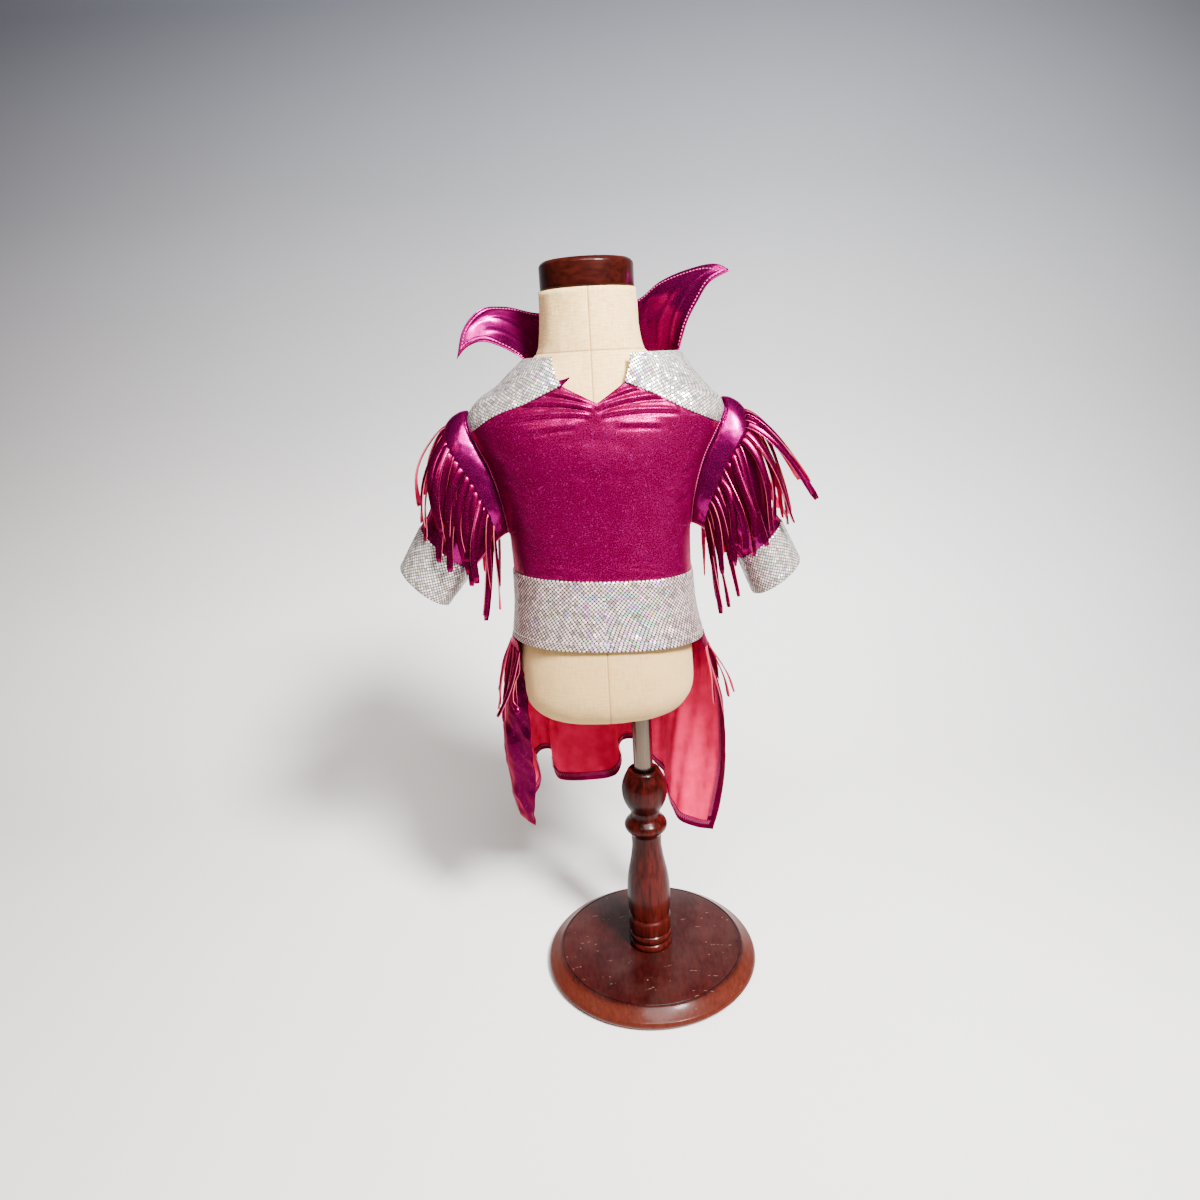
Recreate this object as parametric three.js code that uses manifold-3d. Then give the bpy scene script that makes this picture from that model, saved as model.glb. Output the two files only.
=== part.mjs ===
// Show costume for a small dog, dressed on a child-size form on a turned wooden stand.
// Millimetres, +Z up. The origin is on the floor under the pole, and the costume's belly
// side faces -Y. Every panel is a cloth wall worked out from the tables of sizes below.
import * as THREE from 'three';
import { mergeVertices } from 'three/addons/utils/BufferGeometryUtils.js';
import Module from 'manifold-3d';

const wasm = await Module();
wasm.setup();

// ---------------------------------------------------------------- driving dimensions
const SEAM = 0.3; // gap between two pieces that are sewn or set together
const CLOTH = 1.4; // wall of one layer of foil jersey
const DOUBLED = 2; // wall of a doubled band, cuff or collar

const FORM_X = -34.5; // the form's centre line, which is off the pole's axis
const BASE_HEIGHT = 20;
const POLE_RADIUS = 11;
const POLE_FIT = 0.3; // clearance round the pole in its two sockets
const COLUMN_TOP = 248;
const COLUMN_BORE_FLOOR = 214;
const FORM_BOTTOM = 324;
const FORM_TOP = 761;
const FORM_SOCKET = 34; // depth of the pole's socket in the form
const CORNER = 40; // rounding between the form's side and its flat bottom

const NECK_SEAM_Z = 700; // level where the collar stands on the yokes
const BAND_TOP_Z = 486;
const BAND_BOTTOM_Z = 416;
const BAND_TILT = -0.048; // rise of the waistband for each millimetre to the right

// Cloth form of the stand: half sizes of its level sections.
const FORM_SECTIONS = [
  { z: 364, width: 93.2, depth: 76 },
  { z: 400, width: 92, depth: 74 },
  { z: 440, width: 88.5, depth: 70 },
  { z: 490, width: 87, depth: 68 },
  { z: 525, width: 89, depth: 69 },
  { z: 560, width: 95, depth: 71 },
  { z: 600, width: 105, depth: 71 },
  { z: 625, width: 111, depth: 68 },
  { z: 640, width: 110, depth: 65 },
  { z: 655, width: 101, depth: 61 },
  { z: 670, width: 87, depth: 57.5 },
  { z: 685, width: 72, depth: 54 },
  { z: 697, width: 60, depth: 51 },
  { z: 706, width: 53, depth: 49.5 },
  { z: 716, width: 50.5, depth: 49 },
  { z: 735, width: 48.5, depth: 47.5 },
  { z: 761, width: 47.5, depth: 46.5 },
];

// Outside of the bodice: half sizes to the left, right, front and back of the centre.
const CLOTH_SECTIONS = [
  { z: 478, left: 92.5, right: 93.5, front: 73, back: 73 },
  { z: 520, left: 93, right: 93.5, front: 73.5, back: 73 },
  { z: 545, left: 97, right: 96.5, front: 75, back: 75 },
  { z: 575, left: 104, right: 103.5, front: 76.5, back: 77 },
  { z: 600, left: 112, right: 112, front: 76.5, back: 78 },
  { z: 620, left: 121, right: 122, front: 74.5, back: 77 },
  { z: 640, left: 127, right: 130, front: 71, back: 74 },
  { z: 652, left: 124, right: 127, front: 68.5, back: 71 },
  { z: 663, left: 114, right: 117, front: 65.5, back: 69 },
  { z: 675, left: 96, right: 106, front: 62.5, back: 66 },
  { z: 685, left: 84, right: 99, front: 60.5, back: 63 },
  { z: 692, left: 76, right: 94, front: 59, back: 61 },
  { z: 700, left: 67, right: 88, front: 57, back: 59 },
];

// Waistband: half sizes of its upper and lower edge.
const BAND_SECTIONS = [
  { down: 0, left: 93.8, right: 95.2, front: 74, back: 74 },
  { down: 0.5, left: 95, right: 97.5, front: 74.5, back: 75.5 },
  { down: 1, left: 99, right: 105, front: 78, back: 80 },
];

// Armhole: an upright oval at each side, in degrees round the body and height.
const ARMHOLE = { z: 589.5, halfHeight: 61.5, halfAngle: 18, fullness: 0.8 };

// Lower edge of each yoke in front, from its inner corner out to the armhole.
const YOKE_CORNER = { x: 30, z: 674 };
const YOKE_TOP_CORNER_X = 37;
const YOKE_BACK_ANGLE = 150; // where the yoke ends at the neck, round the back
const YOKE_EDGE = {
  left: [{ out: 0, z: 674 }, { out: 0.35, z: 660 }, { out: 0.7, z: 649 }, { out: 1, z: 633 }],
  right: [{ out: 0, z: 674 }, { out: 0.25, z: 664 }, { out: 0.6, z: 647 }, { out: 1, z: 630 }],
};
const YOKE_BACK_END = 50; // degrees down the armhole's back edge
const YOKE_BACK_BOW = { degrees: 4, rise: 3 }; // of its back seam from a straight line
const YOKE_BACK_GAP = 0.25; // degrees from that seam's middle to each piece
const SIDE_GAP = 0.05; // degrees from a side seam's middle to each piece
const NECK_NOTCH = { x: 3, z: 656 };

// Sleeve ends: outer and inner end of each cuff's upper and lower edge, seen from the front.
const CUFFS = {
  left: {
    top: { outerX: -186, outerZ: 539, innerX: -134, innerZ: 491 },
    end: { outerX: -211, outerZ: 499, innerX: -163, innerZ: 455 },
  },
  right: {
    top: { outerX: 188, outerZ: 526, innerX: 143, innerZ: 488 },
    end: { outerX: 208, outerZ: 485, innerX: 158, innerZ: 449 },
  },
};
const CUFF_Y = -4;
const CUFF_DEPTH = { top: 31, end: 33 }; // half size from front to back
const ROOT_CLEAR = 0.6; // from the bodice's facets to the sleeve's edge
const SLEEVE_REACH = { top: 44, under: 12 }; // how far the sleeve runs straight out
const SLEEVE_DROP = { top: 46, under: 12 }; // how far it runs straight into the cuff
const SLEEVE_SPREAD = { forward: 13, fall: 0.08 }; // of its first stretch, as it runs out
const CUFF_STEP = { sleeve: -0.6, cuff: 0.4 }; // the cuff stands proud of the sleeve's end
const SLEEVE_FOLDS = { count: 6, depth: 1.8, twist: 120 };

// Tail skirt: one row for each turn of its folds, from the left front edge round the
// back to the right one. Places are from the form's centre line.
const SKIRT_ROWS = [
  { share: 0, midX: -86, midY: -36, hemX: -91, hemY: -26, hemZ: 198 },
  { share: 0.05, midX: -110, midY: -20, hemX: -106, hemY: -12, hemZ: 204 },
  { share: 0.1, midX: -118, midY: 2, hemX: -112, hemY: 2, hemZ: 214 },
  { share: 0.16, midX: -107, midY: 20, hemX: -94, hemY: 12, hemZ: 214 },
  { share: 0.22, midX: -99, midY: 36, hemX: -85, hemY: 28, hemZ: 228 },
  { share: 0.28, midX: -98, midY: 54, hemX: -91, hemY: 52, hemZ: 241 },
  { share: 0.33, midX: -90, midY: 70, hemX: -86, hemY: 69, hemZ: 244 },
  { share: 0.38, midX: -76, midY: 82, hemX: -72, hemY: 78, hemZ: 238 },
  { share: 0.42, midX: -66, midY: 80, hemX: -69, hemY: 60, hemZ: 218 },
  { share: 0.46, midX: -54, midY: 77, hemX: -60, hemY: 48, hemZ: 214 },
  { share: 0.52, midX: -26, midY: 79, hemX: -26, hemY: 44, hemZ: 214 },
  { share: 0.57, midX: -4, midY: 84, hemX: 3, hemY: 51, hemZ: 215 },
  { share: 0.6, midX: 6, midY: 89, hemX: 11, hemY: 66, hemZ: 225 },
  { share: 0.64, midX: 16, midY: 93, hemX: 9, hemY: 82, hemZ: 237 },
  { share: 0.68, midX: 28, midY: 93, hemX: 17, hemY: 93, hemZ: 241 },
  { share: 0.72, midX: 42, midY: 90, hemX: 34, hemY: 92, hemZ: 238 },
  { share: 0.76, midX: 58, midY: 82, hemX: 52, hemY: 80, hemZ: 216 },
  { share: 0.8, midX: 70, midY: 70, hemX: 63, hemY: 65, hemZ: 207 },
  { share: 0.84, midX: 75, midY: 54, hemX: 64, hemY: 49, hemZ: 192 },
  { share: 0.88, midX: 82, midY: 40, hemX: 69, hemY: 34, hemZ: 178 },
  { share: 0.92, midX: 98, midY: 28, hemX: 76, hemY: 20, hemZ: 168 },
  { share: 0.96, midX: 115, midY: 10, hemX: 94, hemY: 6, hemZ: 166 },
  { share: 1, midX: 127, midY: -11, hemX: 111, hemY: -9, hemZ: 171 },
];
const SKIRT_START = -76; // degrees at its left front edge
const SKIRT_SWEEP = -204; // on round the back to its right front edge
const SKIRT_TUCK = 1.2; // its upper edge is set in from the waistband's
const HIP_CLEAR = 2.4; // from the form's hips to the outside of the skirt

// Collar wings: free edges from the centre back to the point, and from the foot to it.
const COLLAR = {
  left: {
    top: [[0, 65, 744], [-28, 62, 743], [-57, 44, 746], [-84, 25, 752], [-107, 12, 750],
      [-124, 4, 732], [-132, -2, 704]],
    front: [[-74, 0, 705], [-90, 1, 714], [-107, 1, 719], [-122, 0, 714], [-132, -2, 704]],
  },
  right: {
    top: [[0, 65, 744], [28, 62, 747], [54, 50, 754], [76, 39, 769], [104, 26, 778],
      [128, 16, 780], [141, 10, 773]],
    front: [[92, 3, 712], [98, 6, 728], [108, 9, 745], [121, 10, 763], [141, 10, 773]],
  },
};

// Fringes: a narrow strip sewn into the seam, and cut strands that hang from it.
const STRIP = 1.2; // thickness of strip and strands
const STRIP_CLEAR = 1.1; // from the panel's facets, so that its ridges stay clear
const STRAND_SHARE = 0.66; // of the strip's edge that is strand and not cut
const SLEEVE_FRINGE = { strands: 27, from: -135, to: 150, rows: 2 };
const SLEEVE_HANG = {
  left: { drift: 26, lift: 5 },
  right: { drift: 10, lift: 12 },
  travel: { over: 0.56, under: 0.2, uneven: 0.09 }, // shares of the sleeve's length
  drop: { over: 5, under: 60, uneven: 12 },
};
const WAIST_FRINGE = { strands: 38, from: -66, sweep: -228, depth: 12, top: 1 };
const WAIST_HANG = { length: 54, uneven: 26, lift: 4 };
const FREE_SWING = { left: 20, right: -5, forward: 12 }; // of strands past the skirt's edges

// ------------------------------------------------------------------- small mathematics
const { lerp, clamp, degToRad } = THREE.MathUtils;
const vector = (x, y, z) => new THREE.Vector3(x, y, z);
const sideSign = { left: -1, right: 1 };

// Value of one column of a table at a place along its key column, as a smooth curve.
function tableValue(table, key, column, at) {
  const last = table.length - 1;
  const place = clamp(at, table[0][key], table[last][key]);
  let row = 0;
  while (row < last - 1 && table[row + 1][key] < place) row += 1;
  const slope = (index) => {
    const before = table[Math.max(index - 1, 0)];
    const after = table[Math.min(index + 1, last)];
    return (after[column] - before[column]) / (after[key] - before[key]);
  };
  const span = table[row + 1][key] - table[row][key];
  const t = (place - table[row][key]) / span;
  const start = table[row][column];
  const end = table[row + 1][column];
  const curve = (2 * t ** 3 - 3 * t ** 2 + 1) * start + (3 * t ** 2 - 2 * t ** 3) * end;
  const lead = (t ** 3 - 2 * t ** 2 + t) * slope(row) + (t ** 3 - t ** 2) * slope(row + 1);
  return curve + span * lead;
}

// Level sections are rounded boxes, squarer at the trunk and round at the neck.
const squareness = (z) => lerp(2.4, 2, clamp((z - 640) / 60, 0, 1));
const rounded = (value, power) => Math.sign(value) * Math.abs(value) ** power;

// Point on a level section: 0 degrees is the front, 90 the right, 180 the back.
function sectionPoint(degrees, z, size, power) {
  const angle = degToRad(degrees);
  const x = rounded(Math.sin(angle), 2 / power);
  const y = -rounded(Math.cos(angle), 2 / power);
  return vector(x * (x > 0 ? size.right : size.left), y * (y > 0 ? size.back : size.front), z);
}

function clothSize(z) {
  const size = {};
  for (const side of ['left', 'right', 'front', 'back']) {
    size[side] = tableValue(CLOTH_SECTIONS, 'z', side, z);
  }
  return size;
}

const clothPoint = (degrees, z) => sectionPoint(degrees, z, clothSize(z), squareness(z));

// Outward normal of the bodice, the same for every panel that meets at a seam.
function clothNormal(degrees, z) {
  const across = clothPoint(degrees + 1, z).sub(clothPoint(degrees - 1, z));
  const up = clothPoint(degrees, z + 1).sub(clothPoint(degrees, z - 1));
  return across.cross(up).normalize();
}

// Angle round the body at which the bodice is x to the side of its centre.
function angleAt(x, z) {
  const size = clothSize(z);
  const share = clamp(Math.abs(x) / (x > 0 ? size.right : size.left), 0, 1);
  return (Math.sign(x) * Math.asin(share ** (squareness(z) / 2)) * 180) / Math.PI;
}

// ------------------------------------------------------------------------ mesh makers
// Closed solid between two grids of points, joined at their edges.
function solidBetween(outer, inner, loop) {
  const columns = outer.length;
  const rows = outer[0].length;
  const positions = [...outer.flat(), ...inner.flat()].flatMap((point) => point.toArray());
  const index = [];
  const at = (layer, i, j) => (layer * columns + (i % columns)) * rows + j;
  const quad = (a, b, c, d) => index.push(a, b, c, a, c, d);
  for (let i = 0; i < (loop ? columns : columns - 1); i += 1) {
    for (let j = 0; j < rows - 1; j += 1) {
      quad(at(0, i, j), at(0, i + 1, j), at(0, i + 1, j + 1), at(0, i, j + 1));
      quad(at(1, i, j + 1), at(1, i + 1, j + 1), at(1, i + 1, j), at(1, i, j));
    }
    quad(at(1, i, 0), at(1, i + 1, 0), at(0, i + 1, 0), at(0, i, 0));
    quad(at(0, i, rows - 1), at(0, i + 1, rows - 1), at(1, i + 1, rows - 1), at(1, i, rows - 1));
  }
  for (let j = 0; j < rows - 1 && !loop; j += 1) {
    quad(at(0, 0, j), at(0, 0, j + 1), at(1, 0, j + 1), at(1, 0, j));
    const end = columns - 1;
    quad(at(1, end, j), at(1, end, j + 1), at(0, end, j + 1), at(0, end, j));
  }
  const geometry = new THREE.BufferGeometry();
  geometry.setAttribute('position', new THREE.Float32BufferAttribute(positions, 3));
  geometry.setIndex(index);
  return facingOut(geometry);
}

// Turns a closed mesh the right way round, by the sign of its volume.
function facingOut(geometry) {
  const place = geometry.getAttribute('position');
  const index = geometry.getIndex();
  const corner = [vector(0, 0, 0), vector(0, 0, 0), vector(0, 0, 0)];
  let volume = 0;
  for (let i = 0; i < index.count; i += 3) {
    corner.forEach((point, k) => point.fromBufferAttribute(place, index.getX(i + k)));
    volume += corner[0].dot(corner[1].clone().cross(corner[2]));
  }
  if (volume < 0) index.array.reverse();
  return geometry;
}

// Unit normal of the surface point(u, v), on the side that u crossed with v points to.
function surfaceNormal(point, u, v, flip) {
  const nudge = 0.004;
  const across = point(Math.min(u + nudge, 1), v).sub(point(Math.max(u - nudge, 0), v));
  const down = point(u, Math.min(v + nudge, 1)).sub(point(u, Math.max(v - nudge, 0)));
  return across.cross(down).normalize().multiplyScalar(flip ? -1 : 1);
}

// Cloth wall between point(u, v) and inside(u, v). A looped wall closes round along u.
function wall({ columns, rows, point, inside, loop = false }) {
  const grid = (surface) => Array.from({ length: columns + (loop ? 0 : 1) }, (_, i) =>
    Array.from({ length: rows + 1 }, (__, j) => surface(i / columns, j / rows)));
  return solidBetween(grid(point), grid(inside), loop);
}

// Inside of a wall of even thickness. Its first row stays level with the outside's.
function within(point, thickness, flip = false) {
  return (u, v) => {
    const out = surfaceNormal(point, u, v, flip);
    if (v === 0) out.setZ(0).normalize();
    return point(u, v).addScaledVector(out, -thickness);
  };
}

// Point over a grid of columns and rows that were taken from a surface, moved out by off.
function overGrid(grid, u, v, off) {
  const [across, down] = [u * (grid.length - 1), v * (grid[0].length - 1)];
  const i = clamp(Math.floor(across), 0, grid.length - 2);
  const j = clamp(Math.floor(down), 0, grid[0].length - 2);
  const blend = (key) => {
    const near = grid[i][j][key].clone().lerp(grid[i + 1][j][key], across - i);
    const far = grid[i][j + 1][key].clone().lerp(grid[i + 1][j + 1][key], across - i);
    return near.lerp(far, down - j);
  };
  return blend('place').addScaledVector(blend('out').normalize(), off);
}

// Grid of points and normals taken from a surface at its own columns and rows.
function sampled(point, columns, rows, flip) {
  return Array.from({ length: columns + 1 }, (_, i) =>
    Array.from({ length: rows + 1 }, (__, j) => ({
      place: point(i / columns, j / rows),
      out: surfaceNormal(point, i / columns, j / rows, flip),
    })));
}

// Fringe in one piece: a strip whose free edge is cut into strands of four sides.
// strip(u, v, off) is a point of the strip, and hang(k, u, q, off) one of strand k.
function comb({ strands, rows, steps, strip, hang }) {
  const positions = [];
  const index = [];
  const half = STRAND_SHARE / 2 / strands;
  const quad = (a, b, c, d) => index.push(a, b, c, a, c, d);
  const levels = rows + steps + 1;
  const at = (k, j, corner) => (k * levels + j) * 4 + corner;
  for (let k = 0; k < strands; k += 1) {
    const middle = (k + 0.5) / strands;
    for (let j = 0; j < levels; j += 1) {
      const q = Math.max(j - rows, 0) / steps;
      const width = half * (1 - 0.25 * q);
      for (const [side, off] of [[-1, STRIP], [1, STRIP], [1, 0], [-1, 0]]) {
        const u = middle + side * width;
        const lifted = off + STRIP_CLEAR;
        const point = j <= rows ? strip(u, j / rows, lifted) : hang(k, u, q, lifted);
        positions.push(...point.toArray());
      }
    }
  }
  for (let k = 0; k < strands; k += 1) {
    const joined = k < strands - 1;
    for (let j = 0; j < levels - 1; j += 1) {
      const inStrip = j < rows;
      quad(at(k, j, 0), at(k, j, 1), at(k, j + 1, 1), at(k, j + 1, 0));
      quad(at(k, j, 2), at(k, j, 3), at(k, j + 1, 3), at(k, j + 1, 2));
      if (inStrip && joined) {
        quad(at(k, j, 1), at(k + 1, j, 0), at(k + 1, j + 1, 0), at(k, j + 1, 1));
        quad(at(k + 1, j, 3), at(k, j, 2), at(k, j + 1, 2), at(k + 1, j + 1, 3));
      }
      if (!inStrip || !joined) quad(at(k, j, 1), at(k, j, 2), at(k, j + 1, 2), at(k, j + 1, 1));
      if (!inStrip || k === 0) quad(at(k, j, 3), at(k, j, 0), at(k, j + 1, 0), at(k, j + 1, 3));
    }
    quad(at(k, 0, 3), at(k, 0, 2), at(k, 0, 1), at(k, 0, 0));
    const end = levels - 1;
    quad(at(k, end, 0), at(k, end, 1), at(k, end, 2), at(k, end, 3));
    if (joined) {
      quad(at(k, 0, 2), at(k + 1, 0, 3), at(k + 1, 0, 0), at(k, 0, 1));
      quad(at(k, rows, 1), at(k + 1, rows, 0), at(k + 1, rows, 3), at(k, rows, 2));
    }
  }
  const geometry = new THREE.BufferGeometry();
  geometry.setAttribute('position', new THREE.Float32BufferAttribute(positions, 3));
  geometry.setIndex(index);
  return facingOut(geometry);
}

// Surface spanned by four edges: start and end run along v, low and high run along u.
function spanned(start, end, low, high) {
  const mix = (a, b, t) => a.map((value, k) => lerp(value, b[k], t));
  return (u, v) => {
    const between = mix(start(v), end(v), u);
    const along = mix(low(u), high(u), v);
    const corners = mix(mix(start(0), end(0), u), mix(start(1), end(1), u), v);
    return between.map((value, k) => value + along[k] - corners[k]);
  };
}

function toManifold(geometry) {
  const plain = geometry.clone();
  plain.deleteAttribute('normal');
  plain.deleteAttribute('uv');
  const merged = mergeVertices(plain, 1e-4);
  const mesh = new wasm.Mesh({
    numProp: 3,
    vertProperties: Float32Array.from(merged.getAttribute('position').array),
    triVerts: Uint32Array.from(merged.getIndex().array),
  });
  return new wasm.Manifold(mesh);
}

function fromManifold(solid) {
  const mesh = solid.getMesh();
  const geometry = new THREE.BufferGeometry();
  geometry.setAttribute('position', new THREE.BufferAttribute(mesh.vertProperties, 3));
  geometry.setIndex(new THREE.BufferAttribute(mesh.triVerts, 1));
  return geometry;
}

// --------------------------------------------------------------------------- materials
const finish = (color, roughness, metalness) =>
  new THREE.MeshStandardMaterial({ color, roughness, metalness });
const MATERIALS = {
  magenta: finish(0xb0105c, 0.34, 0.55),
  silver: finish(0xd5d2cf, 0.28, 0.7),
  linen: finish(0xdcc9a4, 0.9, 0),
  mahogany: finish(0x4a1810, 0.3, 0),
  chrome: finish(0xc9c5bd, 0.25, 1),
};

// ------------------------------------------------------------------------------- stand
// Turned profile: each row's arc bulges out from the straight line to the row before it.
function turned(rows, segments) {
  const outline = [new THREE.Vector2(0, rows[0].z)];
  rows.forEach((row, k) => {
    const before = rows[Math.max(k - 1, 0)];
    for (let step = 1; step <= row.steps; step += 1) {
      const t = step / row.steps;
      const radius = lerp(before.r, row.r, t) + 4 * row.bulge * t * (1 - t);
      outline.push(new THREE.Vector2(radius, lerp(before.z, row.z, t)));
    }
  });
  outline.push(new THREE.Vector2(0, rows[rows.length - 1].z));
  const geometry = new THREE.LatheGeometry(outline, segments);
  geometry.rotateX(Math.PI / 2); // the lathe turns about Y
  return geometry;
}

function standBase() {
  return turned([
    { z: 0, r: 119, bulge: 0, steps: 1 },
    { z: 6, r: 123.5, bulge: 0.7, steps: 2 },
    { z: 10, r: 121.5, bulge: 0.3, steps: 1 },
    { z: 19.2, r: 108.5, bulge: -0.6, steps: 2 },
    { z: BASE_HEIGHT, r: 106.6, bulge: 0, steps: 1 },
    { z: BASE_HEIGHT - 0.8, r: 105.8, bulge: 0, steps: 1 },
    { z: BASE_HEIGHT, r: 105, bulge: 0, steps: 1 },
  ], 40);
}

function standColumn() {
  const bore = POLE_RADIUS + POLE_FIT;
  return turned([
    { z: BASE_HEIGHT + SEAM, r: 23.8, bulge: 0, steps: 1 },
    { z: 28, r: 23.8, bulge: 1.4, steps: 2 },
    { z: 29.5, r: 22, bulge: 0, steps: 1 },
    { z: 31, r: 24, bulge: 0, steps: 1 },
    { z: 39, r: 24.2, bulge: 1.2, steps: 2 },
    { z: 40.5, r: 22.2, bulge: 0, steps: 1 },
    { z: 42, r: 24.6, bulge: 0, steps: 1 },
    { z: 58, r: 24.8, bulge: 0, steps: 1 },
    { z: 60, r: 22.6, bulge: 0, steps: 1 },
    { z: 62, r: 23.4, bulge: 0, steps: 1 },
    { z: 120, r: 22.2, bulge: 2.4, steps: 4 },
    { z: 152, r: 17, bulge: -0.6, steps: 2 },
    { z: 166, r: 17.4, bulge: 0, steps: 1 },
    { z: 169, r: 19, bulge: 0, steps: 1 },
    { z: 187, r: 18.6, bulge: 5.8, steps: 5 },
    { z: 190, r: 17, bulge: 0, steps: 1 },
    { z: 197, r: 17.4, bulge: -0.5, steps: 2 },
    { z: 244, r: 19.4, bulge: 7.6, steps: 6 },
    { z: COLUMN_TOP, r: 16.4, bulge: 0.6, steps: 2 },
    { z: COLUMN_TOP - 1, r: 13.4, bulge: 0, steps: 1 },
    { z: COLUMN_TOP - 4, r: bore, bulge: 0, steps: 1 },
    { z: COLUMN_BORE_FLOOR, r: bore, bulge: 0, steps: 1 },
  ], 20);
}

function standPole() {
  const low = COLUMN_BORE_FLOOR + SEAM;
  const high = FORM_BOTTOM + FORM_SOCKET - SEAM;
  const geometry = new THREE.CylinderGeometry(POLE_RADIUS, POLE_RADIUS, high - low, 20);
  geometry.rotateX(Math.PI / 2).translate(0, 0, (low + high) / 2);
  return geometry;
}

// Half sizes of the form at a level, with the rounding at its flat bottom.
function formSize(z) {
  const level = Math.max(z, FORM_BOTTOM + CORNER);
  const drop = clamp((FORM_BOTTOM + CORNER - z) / CORNER, 0, 1);
  const inset = CORNER * (1 - Math.sqrt(1 - drop ** 2));
  const width = tableValue(FORM_SECTIONS, 'z', 'width', level) - inset;
  const depth = tableValue(FORM_SECTIONS, 'z', 'depth', level) - inset;
  return { left: width, right: width, front: depth, back: depth };
}

function formBody() {
  const corner = [0, 22.5, 45, 67.5].map(
    (angle) => FORM_BOTTOM + CORNER * (1 - Math.cos(degToRad(angle))),
  );
  const levels = [...corner, ...FORM_SECTIONS.map((row) => row.z)];
  const segments = 32;
  const positions = [0, 0, FORM_BOTTOM, 0, 0, FORM_TOP];
  const index = [];
  levels.forEach((z) => {
    for (let i = 0; i < segments; i += 1) {
      const point = sectionPoint((i * 360) / segments, z, formSize(z), squareness(z));
      positions.push(...point.toArray());
    }
  });
  const at = (ring, i) => 2 + ring * segments + (i % segments);
  for (let i = 0; i < segments; i += 1) {
    index.push(0, at(0, i + 1), at(0, i), 1, at(levels.length - 1, i), at(levels.length - 1, i + 1));
    for (let ring = 0; ring < levels.length - 1; ring += 1) {
      index.push(at(ring, i), at(ring, i + 1), at(ring + 1, i + 1));
      index.push(at(ring, i), at(ring + 1, i + 1), at(ring + 1, i));
    }
  }
  const body = new THREE.BufferGeometry();
  body.setAttribute('position', new THREE.Float32BufferAttribute(positions, 3));
  body.setIndex(index);
  const radius = POLE_RADIUS + POLE_FIT;
  const socket = new THREE.CylinderGeometry(radius, radius, 2 * FORM_SOCKET, 20);
  socket.rotateX(Math.PI / 2).translate(-FORM_X, 0, FORM_BOTTOM);
  return fromManifold(toManifold(facingOut(body)).subtract(toManifold(socket)));
}

function formCap() {
  return turned([
    { z: FORM_TOP + SEAM, r: 45, bulge: 0, steps: 1 },
    { z: 763, r: 46, bulge: 0, steps: 1 },
    { z: 783, r: 46, bulge: 0, steps: 1 },
    { z: 788, r: 42, bulge: 1, steps: 2 },
    { z: 790, r: 24, bulge: 0, steps: 1 },
  ], 28);
}

// ------------------------------------------------------------------------------ bodice
// Armhole's edge: 0 degrees is its top, 90 its front, 180 its lowest point, 270 its back.
function armholeEdge(side, turn, grow = 0) {
  const angle = degToRad(turn);
  const swing = rounded(Math.sin(angle), ARMHOLE.fullness);
  const degrees = sideSign[side] * (90 - (ARMHOLE.halfAngle + grow * 0.7) * swing);
  return [degrees, ARMHOLE.z + (ARMHOLE.halfHeight + grow) * Math.cos(angle)];
}

// Turn round the armhole's edge at which it has a given height, on its front.
const armholeTurn = (z) =>
  (Math.acos((z - ARMHOLE.z) / ARMHOLE.halfHeight) * 180) / Math.PI;

// Seam between yoke and belly panel, from the yoke's inner corner out to the armhole.
function frontSeam(side, out) {
  const z = tableValue(YOKE_EDGE[side], 'out', 'z', out);
  const endZ = tableValue(YOKE_EDGE[side], 'out', 'z', 1);
  const end = Math.abs(clothPoint(...armholeEdge(side, armholeTurn(endZ))).x);
  if (out >= 1) return armholeEdge(side, armholeTurn(endZ));
  return [angleAt(sideSign[side] * lerp(YOKE_CORNER.x, end, out), z), z];
}

// Seam between yoke and back panel, from the neck out to the armhole.
function backSeam(side, out) {
  const [endAngle, endZ] = armholeEdge(side, -YOKE_BACK_END);
  const bow = Math.sin(Math.PI * out);
  const degrees = lerp(YOKE_BACK_ANGLE, Math.abs(endAngle), out) + YOKE_BACK_BOW.degrees * bow;
  return [sideSign[side] * degrees, lerp(NECK_SEAM_Z, endZ, out) + YOKE_BACK_BOW.rise * bow];
}

// Level of the waistband's upper edge under a point of the bodice.
function bandTopUnder(degrees) {
  let z = BAND_TOP_Z;
  for (let pass = 0; pass < 4; pass += 1) {
    z = BAND_TOP_Z + BAND_TILT * clothPoint(degrees, z).x + SEAM;
  }
  return z;
}

// Side of a belly or back panel: up the side seam, then along the armhole.
function panelSide(side, centre, endTurn) {
  const seamShare = 1 / 3;
  const seamAngle = sideSign[side] * (90 + (centre === 0 ? -SIDE_GAP : SIDE_GAP));
  const low = bandTopUnder(seamAngle);
  const under = ARMHOLE.z - ARMHOLE.halfHeight;
  return (v) => {
    if (v <= seamShare) return [seamAngle, lerp(low, under, v / seamShare)];
    const turn = lerp(180, endTurn, (v - seamShare) / (1 - seamShare));
    return armholeEdge(side, turn);
  };
}

// Gathers that run down from the belly panel's neck edge, as soft troughs.
const GATHERS = [
  { x: -44, z: 655, lean: 0.8, length: 34, width: 6, depth: 1.8 },
  { x: -24, z: 658, lean: 0.45, length: 30, width: 5, depth: 2.2 },
  { x: -9, z: 648, lean: 0.2, length: 26, width: 5, depth: 1.6 },
  { x: 15, z: 651, lean: -0.25, length: 28, width: 5, depth: 1.8 },
  { x: 30, z: 657, lean: -0.5, length: 32, width: 6, depth: 2.2 },
  { x: 52, z: 648, lean: -0.9, length: 36, width: 6, depth: 1.6 },
];

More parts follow.
